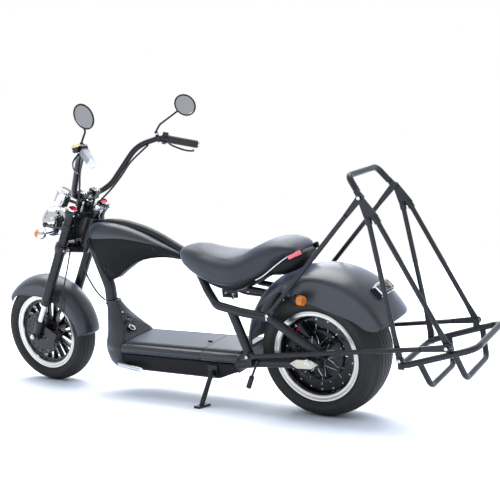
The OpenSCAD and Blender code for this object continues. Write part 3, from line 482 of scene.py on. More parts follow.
CAD_FINISH = {
    "panel": "tank_cover deck_lid deck_tail deck_nose rear_fender front_fender",
    "frame": "spine_tube down_tube seat_rails seat_struts lower_tubes rear_plate fender_bar stand_bracket "
             "rack_loop rack_hoops rack_legs rack_fittings rack_handle rack_stays",
    "dark": "deck_tub battery seat_pan rear_indicators",
    "gloss": "fork_clamps fork_tubes fork_feet front_caliper rear_caliper risers handlebar lever_sets mirrors "
             "lamp_brackets front_spokes hub_motor front_disc side_stand",
    "rubber": "frame_hose bar_cables drop_pegs",
    "tyre": "front_tyre rear_tyre",
    "grip": "grips",
    "red": "fork_caps",
    "chrome": "tail_light foot_pegs locks front_axle headlight speedometer front_indicators",
    "steel": "rear_axle steering_stem",
    "stanchion": "stanchions",
    "champagne": "axle_covers",
    "front_ring": "front_rim",
    "rear_ring": "rear_rim",
    "disc": "rear_disc",
    "hide": "seat",
}
for key, names in CAD_FINISH.items():
    for node in names.split():
        if node in NODES:
            data = NODES[node].data
            data.materials.clear()
            data.materials.append(M[key])


# Panels


def along(rows, x):
    """A table's values at x, each on a smooth curve through its column; x is the first column."""
    last = len(rows) - 1
    i = max(k for k in range(last) if k == 0 or rows[k][0] <= x)
    a, b = rows[i], rows[i + 1]
    before, after = rows[max(i - 1, 0)], rows[min(i + 2, last)]
    gap = b[0] - a[0]
    t = min(1.0, max(0.0, (x - a[0]) / gap))
    out = []
    for k in range(1, len(a)):
        m0 = (b[k] - before[k]) / (b[0] - before[0]) * gap
        m1 = (after[k] - a[k]) / (after[0] - a[0]) * gap
        out.append(
            (2 * t**3 - 3 * t * t + 1) * a[k] + (t**3 - 2 * t * t + t) * m0
            + (3 * t * t - 2 * t**3) * b[k] + (t**3 - t * t) * m1
        )
    return out


def bezier(a, b, c, d, n):
    a, b, c, d = Vector(a), Vector(b), Vector(c), Vector(d)
    return [
        a * (1 - t) ** 3 + b * 3 * t * (1 - t) ** 2 + c * 3 * t * t * (1 - t) + d * t**3
        for t in (k / n for k in range(n + 1))
    ]


def step(x, low, high):
    """Smooth rise from 0 at low to 1 at high."""
    t = min(1.0, max(0.0, (x - low) / (high - low)))
    return t * t * (3 - 2 * t)


def mirrored(points):
    return [Vector((p[0], -p[1], p[2])) for p in reversed(points)]


TANK_REAR = 600
# x, top z, top half width, crease z, crease half width, belly z, belly half width
TANK = [
    (600, 592, 22, 588, 31, 565, 15), (673, 628, 32, 621, 47, 573, 17), (760, 667, 40, 641, 58, 567, 18),
    (838, 694, 45, 654, 64, 546, 19), (905, 709, 48, 657, 67, 508, 19), (966, 715, 50, 656, 66, 474, 20),
    (1000, 715, 48, 655, 64, 494, 21), (1038, 711, 44, 652, 60, 560, 22),
]


def tank_shoulder(bm):
    """Round shoulder of the tank on the left, closed at its front end."""
    rings = []
    for k in range(61):
        x = TANK_REAR + 437 * k / 60
        top, half, cz, ch, _, _ = along(TANK, x)
        t = max(0.0, (x - 1004) / 34)
        s = (1 - t**2.6) ** (1 / 2.6)
        mid = 0.5 * (top + cz)
        arc = bezier((22, top + 2), (half + 4, top + 7), (ch + 5, cz + 0.55 * (top - cz)), (ch, cz + 1.2), 14)
        low = [(ch - 1.2, cz + 0.2), (ch - 7, cz + 1.5), (24, cz + 6)]
        ring = [(v[0], v[1]) for v in arc] + low
        rings.append([(x, 26 + (y - 26) * (0.35 + 0.65 * s), mid + (z - mid) * s) for y, z in ring])
    loft(bm, rings)


def tank_cheeks(bm):
    """Sides of the tank below the crease, meeting under it."""
    rings = []
    for k in range(67):
        x = TANK_REAR + 436 * k / 66
        _, _, cz, ch, bz, bh = along(TANK, x)
        drop = cz - bz
        side = bezier((ch - 3, cz - 1), (ch - 1, cz - 0.35 * drop), (bh + 17, bz + 0.4 * drop),
                      (bh + 1.5, bz + 1.5), 12)
        half = [(x, v[0], v[1]) for v in side] + [(x, bh, bz)]
        rings.append([Vector(p) for p in half] + mirrored(half))
    loft(bm, rings)


def edge_bead(bm):
    """Folded edge along the lower rim of each cheek, and the welt beside the down tube."""
    rim = []
    for k in range(0, 40, 2):
        x = 606 + 428 * k / 39
        *_, low, half = along(TANK, x)
        rim.append((x, half + 1.2, low + 1))
    tube(bm, smooth_path(rim, 3), 1.9, 8)
    welt = [(1029, 63, 646), (1024, 52, 610), (1014, 40, 574), (1002, 31, 540), (990, 26, 512)]
    tube(bm, smooth_path(welt, 6), 1.8, 8)


def panels():
    pair("tank_shoulders", "chassis", tank_shoulder, "panel", 50, ("tank_cover",))
    bm = bmesh.new()
    tank_cheeks(bm)
    both(edge_bead, bm)
    # The cheeks and their edge beads take the darker copy of the panel paint, which is painted shade on these
    # under-facing sides.
    piece("tank_cheeks", "chassis", bm, "under", 42)
    bm = bmesh.new()
    for x, y, z in ((708, 49, 613), (985, 41, 528), (958, 27, 502)):
        both(lambda b: bolt(b, place((x, y - 3, z), (0, 1, -0.3)), 3.6, 5), bm)
    piece("tank_screws", "chassis", bm, "screw", 38)


# Height, rear edge, front edge, half width
NOSE = [
    (118, 880.5, 985, 98), (140, 880.5, 1004, 112), (175, 880.5, 1013, 122), (198, 880.5, 1014.5, 126),
    (212, 880.5, 1015, 124), (228, 881, 1015.5, 117), (240, 883, 1016, 107), (262, 889, 1017, 89),
    (300, 908, 1018, 65), (338, 936, 1021, 43), (372, 960, 1028, 29), (384, 965, 1030, 27),
]


def nose_shell(bm):
    """Nose that narrows from the deck to the down tube, with stepped borders and a flat for the locks."""
    rings = []
    for k in range(86):
        z = 118 + 262 * k / 85
        back, front, half = along(NOSE, z)
        taper = step(z, 236, 345)
        flat, deep = 0.72 * (1 - taper), 26 * (1 - taper) + 0.9 * half * taper
        ring = []
        for i in range(57):
            u = -1 + 2 * i / 56
            au = abs(u)
            inset = half * (1 - au)
            x = back + deep * (1 - sqrt(max(0.0, 1 - (max(0.0, au - flat) / (1 - flat)) ** 2)))
            rise = step(z, 232, 246)
            borders = 3.0 * step(inset, 11, 13) + 2.6 * step(inset, 24, 26) * step(z, 238, 256)
            x += rise * borders * (1 - step(z, 334, 366))
            y = half * u
            oval = hypot((y - 27) / 31, (z - 282) / 52)
            x += 2.6 * (1 - step(oval, 0.9, 1.02)) * rise
            ring.append((x, y, z))
        for i in range(1, 40):
            a = pi / 2 - pi * i / 40
            c, d = cos(a), sin(a)
            mid = back + deep
            ring.append((mid + (front - mid) * c, half * copysign(abs(d) ** 0.88, d), z))
        rings.append(ring)
    loft(bm, rings)


def lid_section(x, grow, drop, low):
    """Half section of the deck top: mat with its groove, channel, round shoulder."""
    flat = [(0, 234), (60, 234), (83.5, 234), (84.6, 232.7), (86.2, 232.7), (87.3, 234), (90, 234), (92, 233.3),
            (93.4, 231), (94.2, 226.4), (95.4, 224.6), (97.4, 224.6), (98.8, 225.8)]
    arc = [
        (107 + 19 * cos(a), 208.2 + 18.3 * sin(a))
        for a in (radians(112 - 15.5 * k) for k in range(13))
    ]
    half = flat + arc + [(109, low), (0.01, low)]
    return [Vector((x, max(0.0, y - grow), min(z, 234 - drop) if z > 215 else z)) for y, z in half]


def deck_run(bm, stations):
    """Run of the deck top: x, and how much narrower, lower and how deep it is there."""
    rings = []
    for x, grow, drop, low in stations:
        half = lid_section(x, grow, drop, low)
        rings.append(half + mirrored(half[1:-1]))
    loft(bm, rings)


def deck():
    bm = bmesh.new()
    nose_shell(bm)
    piece("nose_shell", "chassis", bm, "panel", 34, ("deck_nose",))
    bm = bmesh.new()
    for z, grow in ((368, 1.5), (380, 0)):
        ring = [(996 + (32.5 + grow) * cos(a), (28 + grow) * sin(a), z)
                for a in (pi * k / 24 for k in range(48))]
        tube(bm, ring, 2.6, 10, closed=True)
    piece("nose_collar", "chassis", bm, "panel", 60)
    bm = bmesh.new()
    deck_run(bm, [(487.2, 1.4, 1.2, 191.5), (488.6, 0, 0, 190.3), (600, 0, 0, 190.3), (740, 0, 0, 190.3),
                  (866, 0, 0, 190.3), (870.5, 0, 0.1, 193), (874, 0, 0.9, 200), (877, 0, 2.6, 206),
                  (879.2, 0.4, 5.6, 211)])
    piece("lid_skin", "deck_lid", bm, "panel", 40, ("deck_lid",))
    bm = bmesh.new()
    deck_run(bm, [(316.5, 2, 1.6, 191.8), (318.2, 0, 0, 190.5), (400, 0, 0, 190.5), (484.9, 0, 0, 190.5),
                  (486.1, 1.2, 1.2, 191.5)])
    piece("tail_skin", "chassis", bm, "panel", 40, ("deck_tail",))
    bm = bmesh.new()
    at = shift(509, 12, 234) @ Matrix.Diagonal((1.5, 1, 1, 1))
    lathe(bm, [(0, 0), (8.2, 0), (8.2, 0.8), (6.6, 1.1), (6.4, 4.2), (5.4, 5.2), (0, 5.4)], at, 32)
    piece("lid_knob", "deck_lid", bm, "gloss", 34)


def fender(bm, centre, radius, half, ends, skirt, crown, narrow=None, round_end=7.0, wall=2.6):
    """Shell over a wheel. ends are its first and last angle, in degrees from +x towards +z.
    skirt has the radius of the side's lower edge at such angles. narrow says from which angle to
    which the front part widens, and its half width."""
    cx, cz = centre
    first, last = ends
    steps = 110
    rings = []
    for k in range(steps + 1):
        deg = first + (last - first) * k / steps
        a = radians(deg)
        w = half
        channel = 0.0
        if narrow:
            w = half + (narrow[2] - half) * (1 - step(deg, narrow[0], narrow[1]))
            channel = 5.0 * (1 - step(deg, narrow[0] - 12, narrow[0] - 4)) * step(deg, first + 4, first + 8)
        t = min(1.0, min(deg - first, last - deg) / round_end)
        base = radius - crown
        depth = max(1.0, (base - along(skirt, deg)[0]) * sqrt(max(0.0, 1 - (1 - t) ** 2)))
        pull = 5 * (1 - sqrt(max(0.0, 1 - (1 - min(1.0, min(deg - first, last - deg) / 2.5)) ** 2)))
        side = []
        for j in range(21):
            b = pi / 2 * j / 20
            y = w * sin(b)
            side.append((y, radius - crown * (1 - cos(b)) - channel * (1 - step(y, 20, 25))))
        lip = min(1.0, depth / 20)
        side += [(w, base - depth * f) for f in (0.15, 0.3, 0.45, 0.6, 0.75, 0.86)]
        side += [(w + 0.9 * lip, base - depth * 0.92), (w + 1.5 * lip, base - depth * 0.97),
                 (w + 0.8 * lip, base - depth)]
        inner = [(max(0.0, y - wall * min(1.0, y / 30)), r - (wall if r >= base else 0))
                 for y, r in reversed(side)]
        ring = [(y, r - pull) for y, r in side + inner]
        ring = ring + [(-y, r) for y, r in reversed(ring[1:-1])]
        rings.append([(cx + r * cos(a), y, cz + r * sin(a)) for y, r in ring])
    loft(bm, rings)


def fenders():
    bm = bmesh.new()
    edge = [(4, 276), (48, 276), (60, 268), (70, 238), (86, 206), (100, 194), (113, 191), (126, 200),
            (140, 220), (155, 240)]
    fender(bm, (-12, 240.5), 318, 126, (4.2, 154.6), edge, 40, narrow=(58, 72, 95))
    piece("rear_fender_skin", "chassis", bm, "panel", 40, ("rear_fender",))
    edge = [(41, 213), (52, 208), (60, 196), (70, 181), (81, 171), (95, 167), (107, 168), (130, 172),
            (152, 186), (168, 204), (181, 213)]
    bm = bmesh.new()
    fender(bm, (1380, 226.7), 256, 65, (41.5, 180), edge, 44, round_end=4.0)
    piece("front_fender_skin", "front_fork", bm, "panel", 40, ("front_fender",))


# Seat


# x, top z, bottom z, half width
SEAT = [(50, 624, 609, 52), (57, 632, 607, 72), (68, 640, 604, 86), (85, 648, 597, 97), (125, 656, 570, 108),
        (180, 645, 530, 116), (235, 624, 505, 122), (285, 603, 486, 126), (330, 595, 478, 126),
        (380, 597, 481, 120), (440, 606, 491, 108), (500, 623, 512, 88), (545, 629, 536, 70),
        (580, 621, 561, 48), (598, 604, 586, 20)]


def seat_ring(x, count=40, squareness=0.62):
    """Rounded section of the seat, dished on top."""
    top, low, half = along(SEAT, x)
    mid, tall = 0.5 * (top + low), 0.5 * (top - low)
    ring = []
    for i in range(count):
        a = 2 * pi * (i + 0.5) / count
        c, d = cos(a), sin(a)
        y = half * copysign(abs(c) ** squareness, c)
        z = mid + tall * copysign(abs(d) ** 0.66, d)
        dish = 5 * exp(-((x - 340) / 120) ** 2) * (1 - (y / half) ** 2) if d > 0 else 0
        ring.append((x, y, z - dish))
    return ring


def settle(obj, pressure, cap):
    """Fills a pad with Blender's cloth and keeps the result in its mesh; no point moves more than cap."""
    scene = bpy.context.scene
    obj.modifiers.new("even", "REMESH").mode = "VOXEL"
    obj.modifiers["even"].voxel_size = 0.0055
    deps = bpy.context.evaluated_depsgraph_get()
    mesh = bpy.data.meshes.new_from_object(obj.evaluated_get(deps))
    obj.modifiers.clear()
    obj.data = mesh
    start = [v.co.copy() for v in mesh.vertices]
    cloth = obj.modifiers.new("cloth", "CLOTH").settings
    cloth.use_pressure, cloth.uniform_pressure_force = True, pressure
    cloth.tension_stiffness = cloth.compression_stiffness = 30
    cloth.bending_stiffness = 8
    cloth.effector_weights.gravity = 0
    for frame_no in range(1, 21):
        scene.frame_set(frame_no)
    deps = bpy.context.evaluated_depsgraph_get()
    full = bpy.data.meshes.new_from_object(obj.evaluated_get(deps))
    obj.modifiers.clear()
    obj.data = mesh = full
    scene.frame_set(1)
    for v, was in zip(mesh.vertices, start):
        move = v.co - was
        if move.length > cap:
            v.co = was + move * (cap / move.length)
    bm = bmesh.new()
    bm.from_mesh(mesh)
    for _ in range(3):
        bmesh.ops.smooth_vert(bm, verts=bm.verts, factor=0.5, use_axis_x=True, use_axis_y=True, use_axis_z=True)
    for f in bm.faces:
        f.smooth = True
    bm.to_mesh(mesh)
    bm.free()
    obj.modifiers.new("round", "SUBSURF").levels = 1
    obj.modifiers["round"].render_levels = 1


def seat():
    bm = bmesh.new()
    loft(bm, [seat_ring(x) for x in [51, 54, 59, 66, 75] + list(range(85, 586, 10)) + [590, 595, 597.5]])
    pad = piece("seat_pad", "chassis", bm, "hide", 180, ("seat",))
    settle(pad, 4.0, 0.006)
    pad.data.materials.clear()
    pad.data.materials.append(M["hide"])

    # Black base under the pad, whose rear end carries the reflector
    bm = bmesh.new()
    rings = []
    base = [(29, 608, 598, 32), (38, 613, 573, 56), (60, 615, 549, 74), (85, 617, 536, 84),
            (125, 612, 524, 92), (165, 600, 522, 98), (200, 580, 512, 103), (235, 554, 494, 106),
            (285, 530, 468, 108), (330, 522, 459, 104), (380, 520, 462, 92), (440, 524, 476, 76),
            (500, 534, 500, 50)]
    for k in range(56):
        x = 29 + 471 * (k / 55) ** 1.25
        top, low, half = along(base, x)
        mid, tall = 0.5 * (top + low), 0.5 * (top - low)
        rings.append([
            (x, half * copysign(abs(cos(a)) ** 0.55, cos(a)),
             mid + tall * copysign(abs(sin(a)) ** 0.8, sin(a)))
            for a in (2 * pi * (i + 0.5) / 36 for i in range(36))
        ])
    loft(bm, rings)
    piece("seat_base", "chassis", bm, "dark", 50, ("seat_pan",))

    # Bright strip along each side between pad and base
    def strip(b):
        path = [(x, along(SEAT, x)[2] * 0.9, along(SEAT, x)[1] + 1.5) for x in range(72, 216, 6)]
        tube(b, path, 2.6, 8, flat=1.2)

    pair("seat_strip", "chassis", strip, "steel", 60)

    # Reflector on the rear of the base, and its frame
    at = place((58, 75.5, 606), (-0.46, 1, -0.08), (1, 0, -0.3))
    at_low = at @ shift(0, 0, -3)
    pair("reflector_frames", "chassis", lambda b: block(b, (60, 22, 12), at_low, 4), "dark", 40)
    pair("reflectors", "chassis", lambda b: block(b, (53, 16, 12), at, 3), "red_paint", 40)

    # Hinge bracket and catch under the seat, with bright bolts
    at = place((366, 50, 446), (0, 0, 1), (1, 0, 0.1))
    pair("seat_hinges", "chassis", lambda b: block(b, (70, 5, 34), at, 1.5), "frame", 40)
    bm = bmesh.new()
    for x, z in ((350, 442), (384, 447), (352, 430)):
        both(lambda b: bolt(b, place((x, 52.4, z), (0, 1, 0)), 5, 6), bm)
    piece("seat_bolts", "chassis", bm, "chrome", 38)


# Wheels


def tyre_side(radius, half, crown, shoulder, rim_r, rim_half, grooves):
    """Half profile as (y, r): crown with grooves, shoulder, side wall with raised rings, bead."""
    rows = []
    limit = radians(shoulder)
    marks = sorted(grooves)
    for k in range(61):
        y = crown * sin(limit * k / 60)
        r = radius - (crown - sqrt(crown * crown - y * y))
        depth = 0.0
        for at, wide, deep in marks:
            depth = max(depth, deep * (1 - step(abs(y - at), wide * 0.4, wide * 0.75)))
        rows.append((y, r - depth))
    y0, r0 = rows[-1][0], radius - crown * (1 - cos(limit))
    y1, r1 = rim_half, rim_r + 3
    wall = half - (y0 + y1) / 2
    for k in range(1, 25):
        t = k / 24
        y = y0 + (y1 - y0) * t + wall * sin(pi * t) ** 0.85
        r = r0 + (r1 - r0) * t
        ring = 1.1 * exp(-((t - 0.80) / 0.02) ** 2) + 0.8 * exp(-((t - 0.62) / 0.015) ** 2)
        ring += 0.9 * exp(-((t - 0.16) / 0.02) ** 2)
        rows.append((y + ring, r))
    rows.append((rim_half - 3, rim_r + 0.4))
    return rows


def tyre(centre, rows):
    """Tyre turned from half a profile."""
    bm = bmesh.new()
    profile = [(r, -y) for y, r in reversed(rows)] + [(r, y) for y, r in rows[1:]]
    lathe(bm, profile, place(centre, (0, 1, 0)), 132)
    return bm


def wall_y(rows, r):
    """How far out the side wall stands at a radius."""
    side = [(q, y) for y, q in rows[60:]]
    for (r0, y0), (r1, y1) in zip(side, side[1:]):
        if r1 <= r <= r0:
            return y1 + (y0 - y1) * (r - r1) / (r0 - r1)
    return side[0][1]


def side_lugs(bm, centre, rows, count, r_in, r_out, wide, thick):
    """Shallow raised blocks round the shoulder of a tyre, both sides, laid on its side wall."""
    for i in range(count):
        for s in (-1, 1):
            a = 2 * pi * (i + (0.5 if s > 0 else 0)) / count
            d = Vector((cos(a), 0, sin(a)))
            t = Vector((-sin(a), 0, cos(a)))
            rings = []
            for k in range(5):
                r = r_in + (r_out - r_in) * k / 4
                y = wall_y(rows, r)
                lift = thick if 0 < k < 4 else -0.3
                rings.append([
                    Vector(centre) + d * r + Vector((0, s * (y + h), 0)) + t * wide * f
                    for f, h in ((-0.5, -0.5), (-0.44, lift), (0.44, lift), (0.5, -0.5))
                ])
            loft(bm, rings)


def rim_lips(bm, centre, r_bead, r_lip, half):
    """Polished lip on both sides of a rim, with a turned groove."""
    for s in (-1, 1):
        at = place(centre, (0, s, 0))
        lathe(bm, [(r_bead - 7, half - 22), (r_bead - 7, half - 6), (r_bead - 4, half - 2.5),
                   (r_bead + 1, half - 1.2), (r_lip - 9, half - 1.4), (r_lip - 8.4, half - 2.8),
                   (r_lip - 7, half - 2.8), (r_lip - 6.4, half - 1.2), (r_lip - 3, half - 0.3),
                   (r_lip - 1, half), (r_lip, half - 1.2), (r_lip, half - 5), (r_bead, half - 6),
                   (r_bead, half - 22), (r_bead - 7, half - 22)], at, 128)


def wheels():
    rear, front = tuple(REAR_AXLE), tuple(FRONT_AXLE)
    grooves = [(0, 3.2, 2.6), (22, 3.2, 2.6), (44, 3.2, 2.8)] + [(58 + 5.6 * k, 2.0, 1.5) for k in range(5)]
    rows = tyre_side(REAR_TYRE, 107, 230, 21.6, RIM, REAR_RIM_HALF, grooves)
    bm = tyre(rear, rows)
    side_lugs(bm, rear, rows, 44, 193, 213, 13, 0.6)
    piece("rear_tyre_skin", "rear_wheel", bm, "rear_tread", 30, ("rear_tyre",))
    rows = tyre_side(FRONT_TYRE, 55, 75, 43.2, RIM, FRONT_RIM_HALF,
                     [(0, 3, 2.4), (17, 2.6, 2.2), (33, 2.4, 2.0)])
    bm = tyre(front, rows)
    side_lugs(bm, front, rows, 48, 188, 202, 8, 0.5)
    piece("front_tyre_skin", "front_wheel", bm, "tyre", 30, ("front_tyre",))

    bm = bmesh.new()
    rim_lips(bm, rear, BEAD, RIM, REAR_RIM_HALF)
    lathe(bm, [(150, -76), (148, 0), (150, 76)], place(rear, (0, 1, 0)), 96)
    piece("rear_rim_skin", "rear_wheel", bm, "rear_ring", 40, ("rear_rim",))
    bm = bmesh.new()
    rim_lips(bm, front, BEAD, RIM, FRONT_RIM_HALF)
    lathe(bm, [(144, -22), (141, -16), (141, 16), (144, 22)], place(front, (0, 1, 0)), 96)
    piece("front_rim_skin", "front_wheel", bm, "front_ring", 40, ("front_rim",))

    # Hub motor: domed covers with bright-edged kite-shaped pockets, ring of bolts, thin brake disc
    bm = bmesh.new()
    face = [(0, 79), (20, 79), (34, 76), (58, 69), (84, 65.5), (118, 64), (134, 62.5), (140, 60), (144, 52)]
    lathe(bm, [(r, -h) for r, h in face] + [(r, h) for r, h in reversed(face)], place(rear, (0, 1, 0)), 128)

    def face_h(r):
        return [b[1] + (a[1] - b[1]) * (b[0] - r) / (b[0] - a[0])
                for a, b in zip(face, face[1:]) if a[0] <= r <= b[0]][0]

    edges, studs = bmesh.new(), bmesh.new()
    for s in (-1, 1):
        at = place(rear, (0, s, 0))
        for i in range(8):
            for corners in (((35, 0), (79, -17), (118, -7)), ((35, 0), (79, 19), (126, 13))):
                run = []
                for (r0, a0), (r1, a1) in zip(corners, corners[1:]):
                    for f in (0, 0.25, 0.5, 0.75):
                        r, a = r0 + (r1 - r0) * f, radians(a0 + (a1 - a0) * f + 45 * i + 31)
                        run.append((r * cos(a), r * sin(a), face_h(r) + 0.5))
                tube(edges, run, 2.1, 6, at=at)
            spin = at @ turn(45 * i + 33)
            plate(bm, [(72, -13), (100, -9), (114, -3), (114, 8), (98, 15), (72, 14)], 3.4,
                  spin @ shift(0, 0, 64.4), 1.0)
        for i in range(18):
            bolt(studs, at @ turn(20 * i) @ shift(131, 0, 61.5), 3.2, 3.6)
        for i in range(6):
            bolt(studs, at @ turn(60 * i + 42) @ shift(24, 0, 77), 3.6, 3.4)
    piece("hub_motor_covers", "rear_wheel", bm, "gloss", 34, ("hub_motor",))
    piece("hub_motor_edges", "rear_wheel", edges, "chrome", 60)
    piece("hub_motor_bolts", "rear_wheel", studs, "steel", 38)
    bm = bmesh.new()
    at = place((0, 81.8, REAR_AXLE.z), (0, 1, 0))
    lathe(bm, [(91, -1.8), (100, -1.8), (100, 1.8), (91, 1.8), (91, -1.8)], at, 96)
    lathe(bm, [(28, -2.5), (42, -2.5), (42, 2.2), (28, 2.2), (28, -2.5)], at, 64)
    for i in range(3):
        spin = at @ turn(120 * i + 200)
        plate(bm, [(38, -6), (93, -12), (93, -7), (41, 3)], 3, spin)
    piece("rear_disc_rotor", "rear_wheel", bm, "gloss", 34, ("rear_disc",))


# Frame


def frame_skins():
    bm = bmesh.new()
    spine = [(1050, 0, 692.6), (1010, 0, 706), (905, 0, 712), (752, 0, 674), (600, 0, 594), (521, 0, 540.7)]
    tube(bm, bent_path(spine, [0, 60, 440, 600, 800, 0], 12), 19.2, 30)
    lathe(bm, [(20, 471), (24.5, 471), (26.4, 473), (26.4, 480), (25.6, 482), (25.6, 602), (26.4, 604),
               (26.4, 611), (24.5, 613.6), (20, 613.6)], FORK @ shift(-45, 0, 0), 40)
    tube(bm, bent_path([(1071, 0, 637), (1004, 0, 440), (1004, 0, 376)], 120, 10), 24.5, 28)

    def side(b):
        tube(b, bent_path([(520, 26, 531), (459, 62, 458), (392, 108, 414), (277, 130, 400), (148, 135, 386),
                           (-42, 135, 260)], 60, 8), 16.5, 24)
        tube(b, [(320.5, 120.1, 399), (247.5, 125.9, 211)], 17.4, 24)
        tube(b, bent_path([(317, 120.2, 192.4), (215, 135, 214), (-43, 135, 232)], 120, 8), 18.5, 24)

    both(side, bm)
    piece("frame_tubes", "chassis", bm, "frame", 40, ("spine_tube",))
    for name in ("fork_clamps fork_feet risers rear_plate stand_bracket foot_pegs axle_covers side_stand "
                 "rack_fittings fork_tubes front_disc").split():
        node = NODES[name]
        node.modifiers.new("weld", "WELD").merge_threshold = 1e-5
        soft = node.modifiers.new("soft_edges", "BEVEL")
        soft.limit_method, soft.angle_limit, soft.width, soft.segments = "ANGLE", radians(40), 0.0009, 2


# Front end, built in the fork's frame


def front_wheel():
    hub = place(FRONT_AXLE, (0, 1, 0))
    bm, trim = bmesh.new(), bmesh.new()
    lathe(bm, [(7.5, -58), (22, -58), (26, -55), (34, -50), (34, -21), (40, -14), (40, 14), (34, 21), (34, 50),
               (26, 55), (22, 58), (7.5, 58), (7.5, -58)], hub, 64)
    lathe(bm, [(133, -19), (142, -20), (142, 20), (133, 19), (135, 12), (135, -12), (133, -19)], hub, 120)
    for i in range(10):
        spin = hub @ turn(36 * i + 8)
        plate(bm, [(30, -9), (62, -7), (78, -11), (134, -27), (134, -19), (86, -3), (82, 0), (86, 3), (134, 19),
                   (134, 27), (78, 11), (62, 7), (30, 9)], 24, spin, 1.6)
        for k in (-1, 1):
            for s in (-1, 1):
                tube(trim, [(80, 8.5 * k, 12.1 * s), (104, 15.2 * k, 12.1 * s), (130, 22.5 * k, 12.1 * s)],
                     1.5, 6, at=spin)
            bolt(trim, spin @ turn(9 * k) @ shift(29, 0, 51), 2.6, 4)
    piece("front_spoke_skin", "front_wheel", bm, "gloss", 34, ("front_spokes",))
    piece("front_spoke_trim", "front_wheel", trim, "steel", 50)


def fork():
    def leg(b):
        at = FORK @ shift(0, LEG_Y, 0)
        lathe(b, [(13.2, 164), (17.5, 164), (19, 167), (23, 170), (23.4, 176), (22.4, 178), (13.2, 178)],
              at, 40)
        lathe(b, [(21, 186), (23.2, 187), (23.2, 191), (21, 192)], at, 40)
        lathe(b, [(20, 430), (22.8, 431), (22.8, 436), (25.2, 437), (25.2, 444.5), (20, 444.5)], at, 40)
        lathe(b, [(19, 470.5), (23, 470.5), (23, 476), (20.6, 478), (19, 478)], at, 40)
        lathe(b, [(19, 598), (21.4, 599), (21.4, 607), (24, 608), (24, 615.5), (19, 615.5)], at, 40)
        lathe(b, [(12.9, 76), (17, 75.5), (18.6, 72), (19.2, 70)], at, 40)

    pair("fork_collars", "front_fork", leg, "gloss", 34)
    at = FORK @ shift(0, LEG_Y, 0)
    ring = [(17, 637), (21, 637), (21.6, 639), (21.6, 645), (20.2, 647), (18.2, 647), (17, 644.5), (17, 637)]
    turned("cap_rings", "front_fork", ring, at, 48, "chrome", 40, twin=True)
    cup = [(0, 640), (17.4, 640), (17.4, 647.5), (16, 649), (14, 647.6), (11, 643.5), (4, 642), (0, 641.8)]
    turned("fork_cap_cups", "front_fork", cup, at, 48, "red", 40, ("fork_caps",), twin=True)

    def bolts(b):
        for z in (457, 626):
            for y in (84, 110):
                bolt(b, FORK @ place((-24.5, y, z), (-1, 0, 0)), 3.6, 5)
        for x in (6, 32):
            for y in (33, 47):
                bolt(b, FORK @ place((x, y, 702), (0, 0, 1)), 3.4, 5)
        at = FORK @ place((0, 125, 0), (0, 1, 0))
        lathe(b, [(9.5, 0), (9.2, 2.5), (6.5, 5.5), (0, 6.6)], at, 24)

    bm = bmesh.new()
    both(bolts, bm)
    lathe(bm, [(15, 651), (18.5, 651), (18.5, 653), (12, 653.4), (12, 660), (10.5, 662), (0, 662.6)],
          FORK @ shift(-45, 0, 0), 28)
    piece("fork_bolts", "front_fork", bm, "chrome", 38)
    bm = bmesh.new()
    at = FORK @ place((2, 4, 640), (-0.15, 0.1, 1))
    lathe(bm, [(17, 0), (17, 22), (15.5, 24), (15.5, 30), (13, 32), (4, 32), (4, 30), (0, 30)], at, 32)
    piece("ignition_lock", "front_fork", bm, "gloss", 38)
    bm = bmesh.new()
    lathe(bm, [(11, 31.8), (14.8, 31.8), (14.8, 34), (11, 34.6), (10, 33), (10, 31.8)], at, 32)
    block(bm, (2.4, 12, 24), at @ shift(0, 0, 42), 0.8)
    piece("ignition_ring", "front_fork", bm, "chrome", 38)

    # Caliper in two halves over the disc, with red bolts
    rows = [((32, 17, 58), (-84, 74.5, 40), 5, 3), ((32, 6, 54), (-84, 52.2, 40), 2),
            ((5, 33, 40), (-99, 65.5, 44), 2), ((20, 5, 34), (-84, 84, 40), 2)]
    blocks("front_caliper_halves", "front_fork", FORK, rows, "gloss", 38, ("front_caliper",))
    bm = bmesh.new()
    for z in (22, 58):
        bolt(bm, FORK @ place((-84, 86, z), (0, 1, 0)), 4.6, 6)
    piece("front_caliper_bolts", "front_fork", bm, "red", 38)


BAR = [Vector(p) for p in ((1061, 0, 832), (1061, 78, 832), (1026, 116, 857), (912, 178, 1010),
                           (833, 239, 1032), (707, 340, 985))]
RUN = (BAR[5] - BAR[4]).normalized()
SIDE = (RUN.cross(Vector((0, 0, 1))) + Vector((0, 0, -0.25))).normalized()
ARM = (BAR[4] - BAR[3]).normalized()
PERCH = BAR[4] - ARM * 8
PERCH_UP = (Vector((0, 0, 1)) - ARM * ARM.z).normalized()
MIRROR = Vector((738, 314, 1157))
LOOK = Vector((-0.72, -0.42, 0.3)).normalized()
LOOK_LEFT = Vector((-0.95, 0.05, 0.24)).normalized()


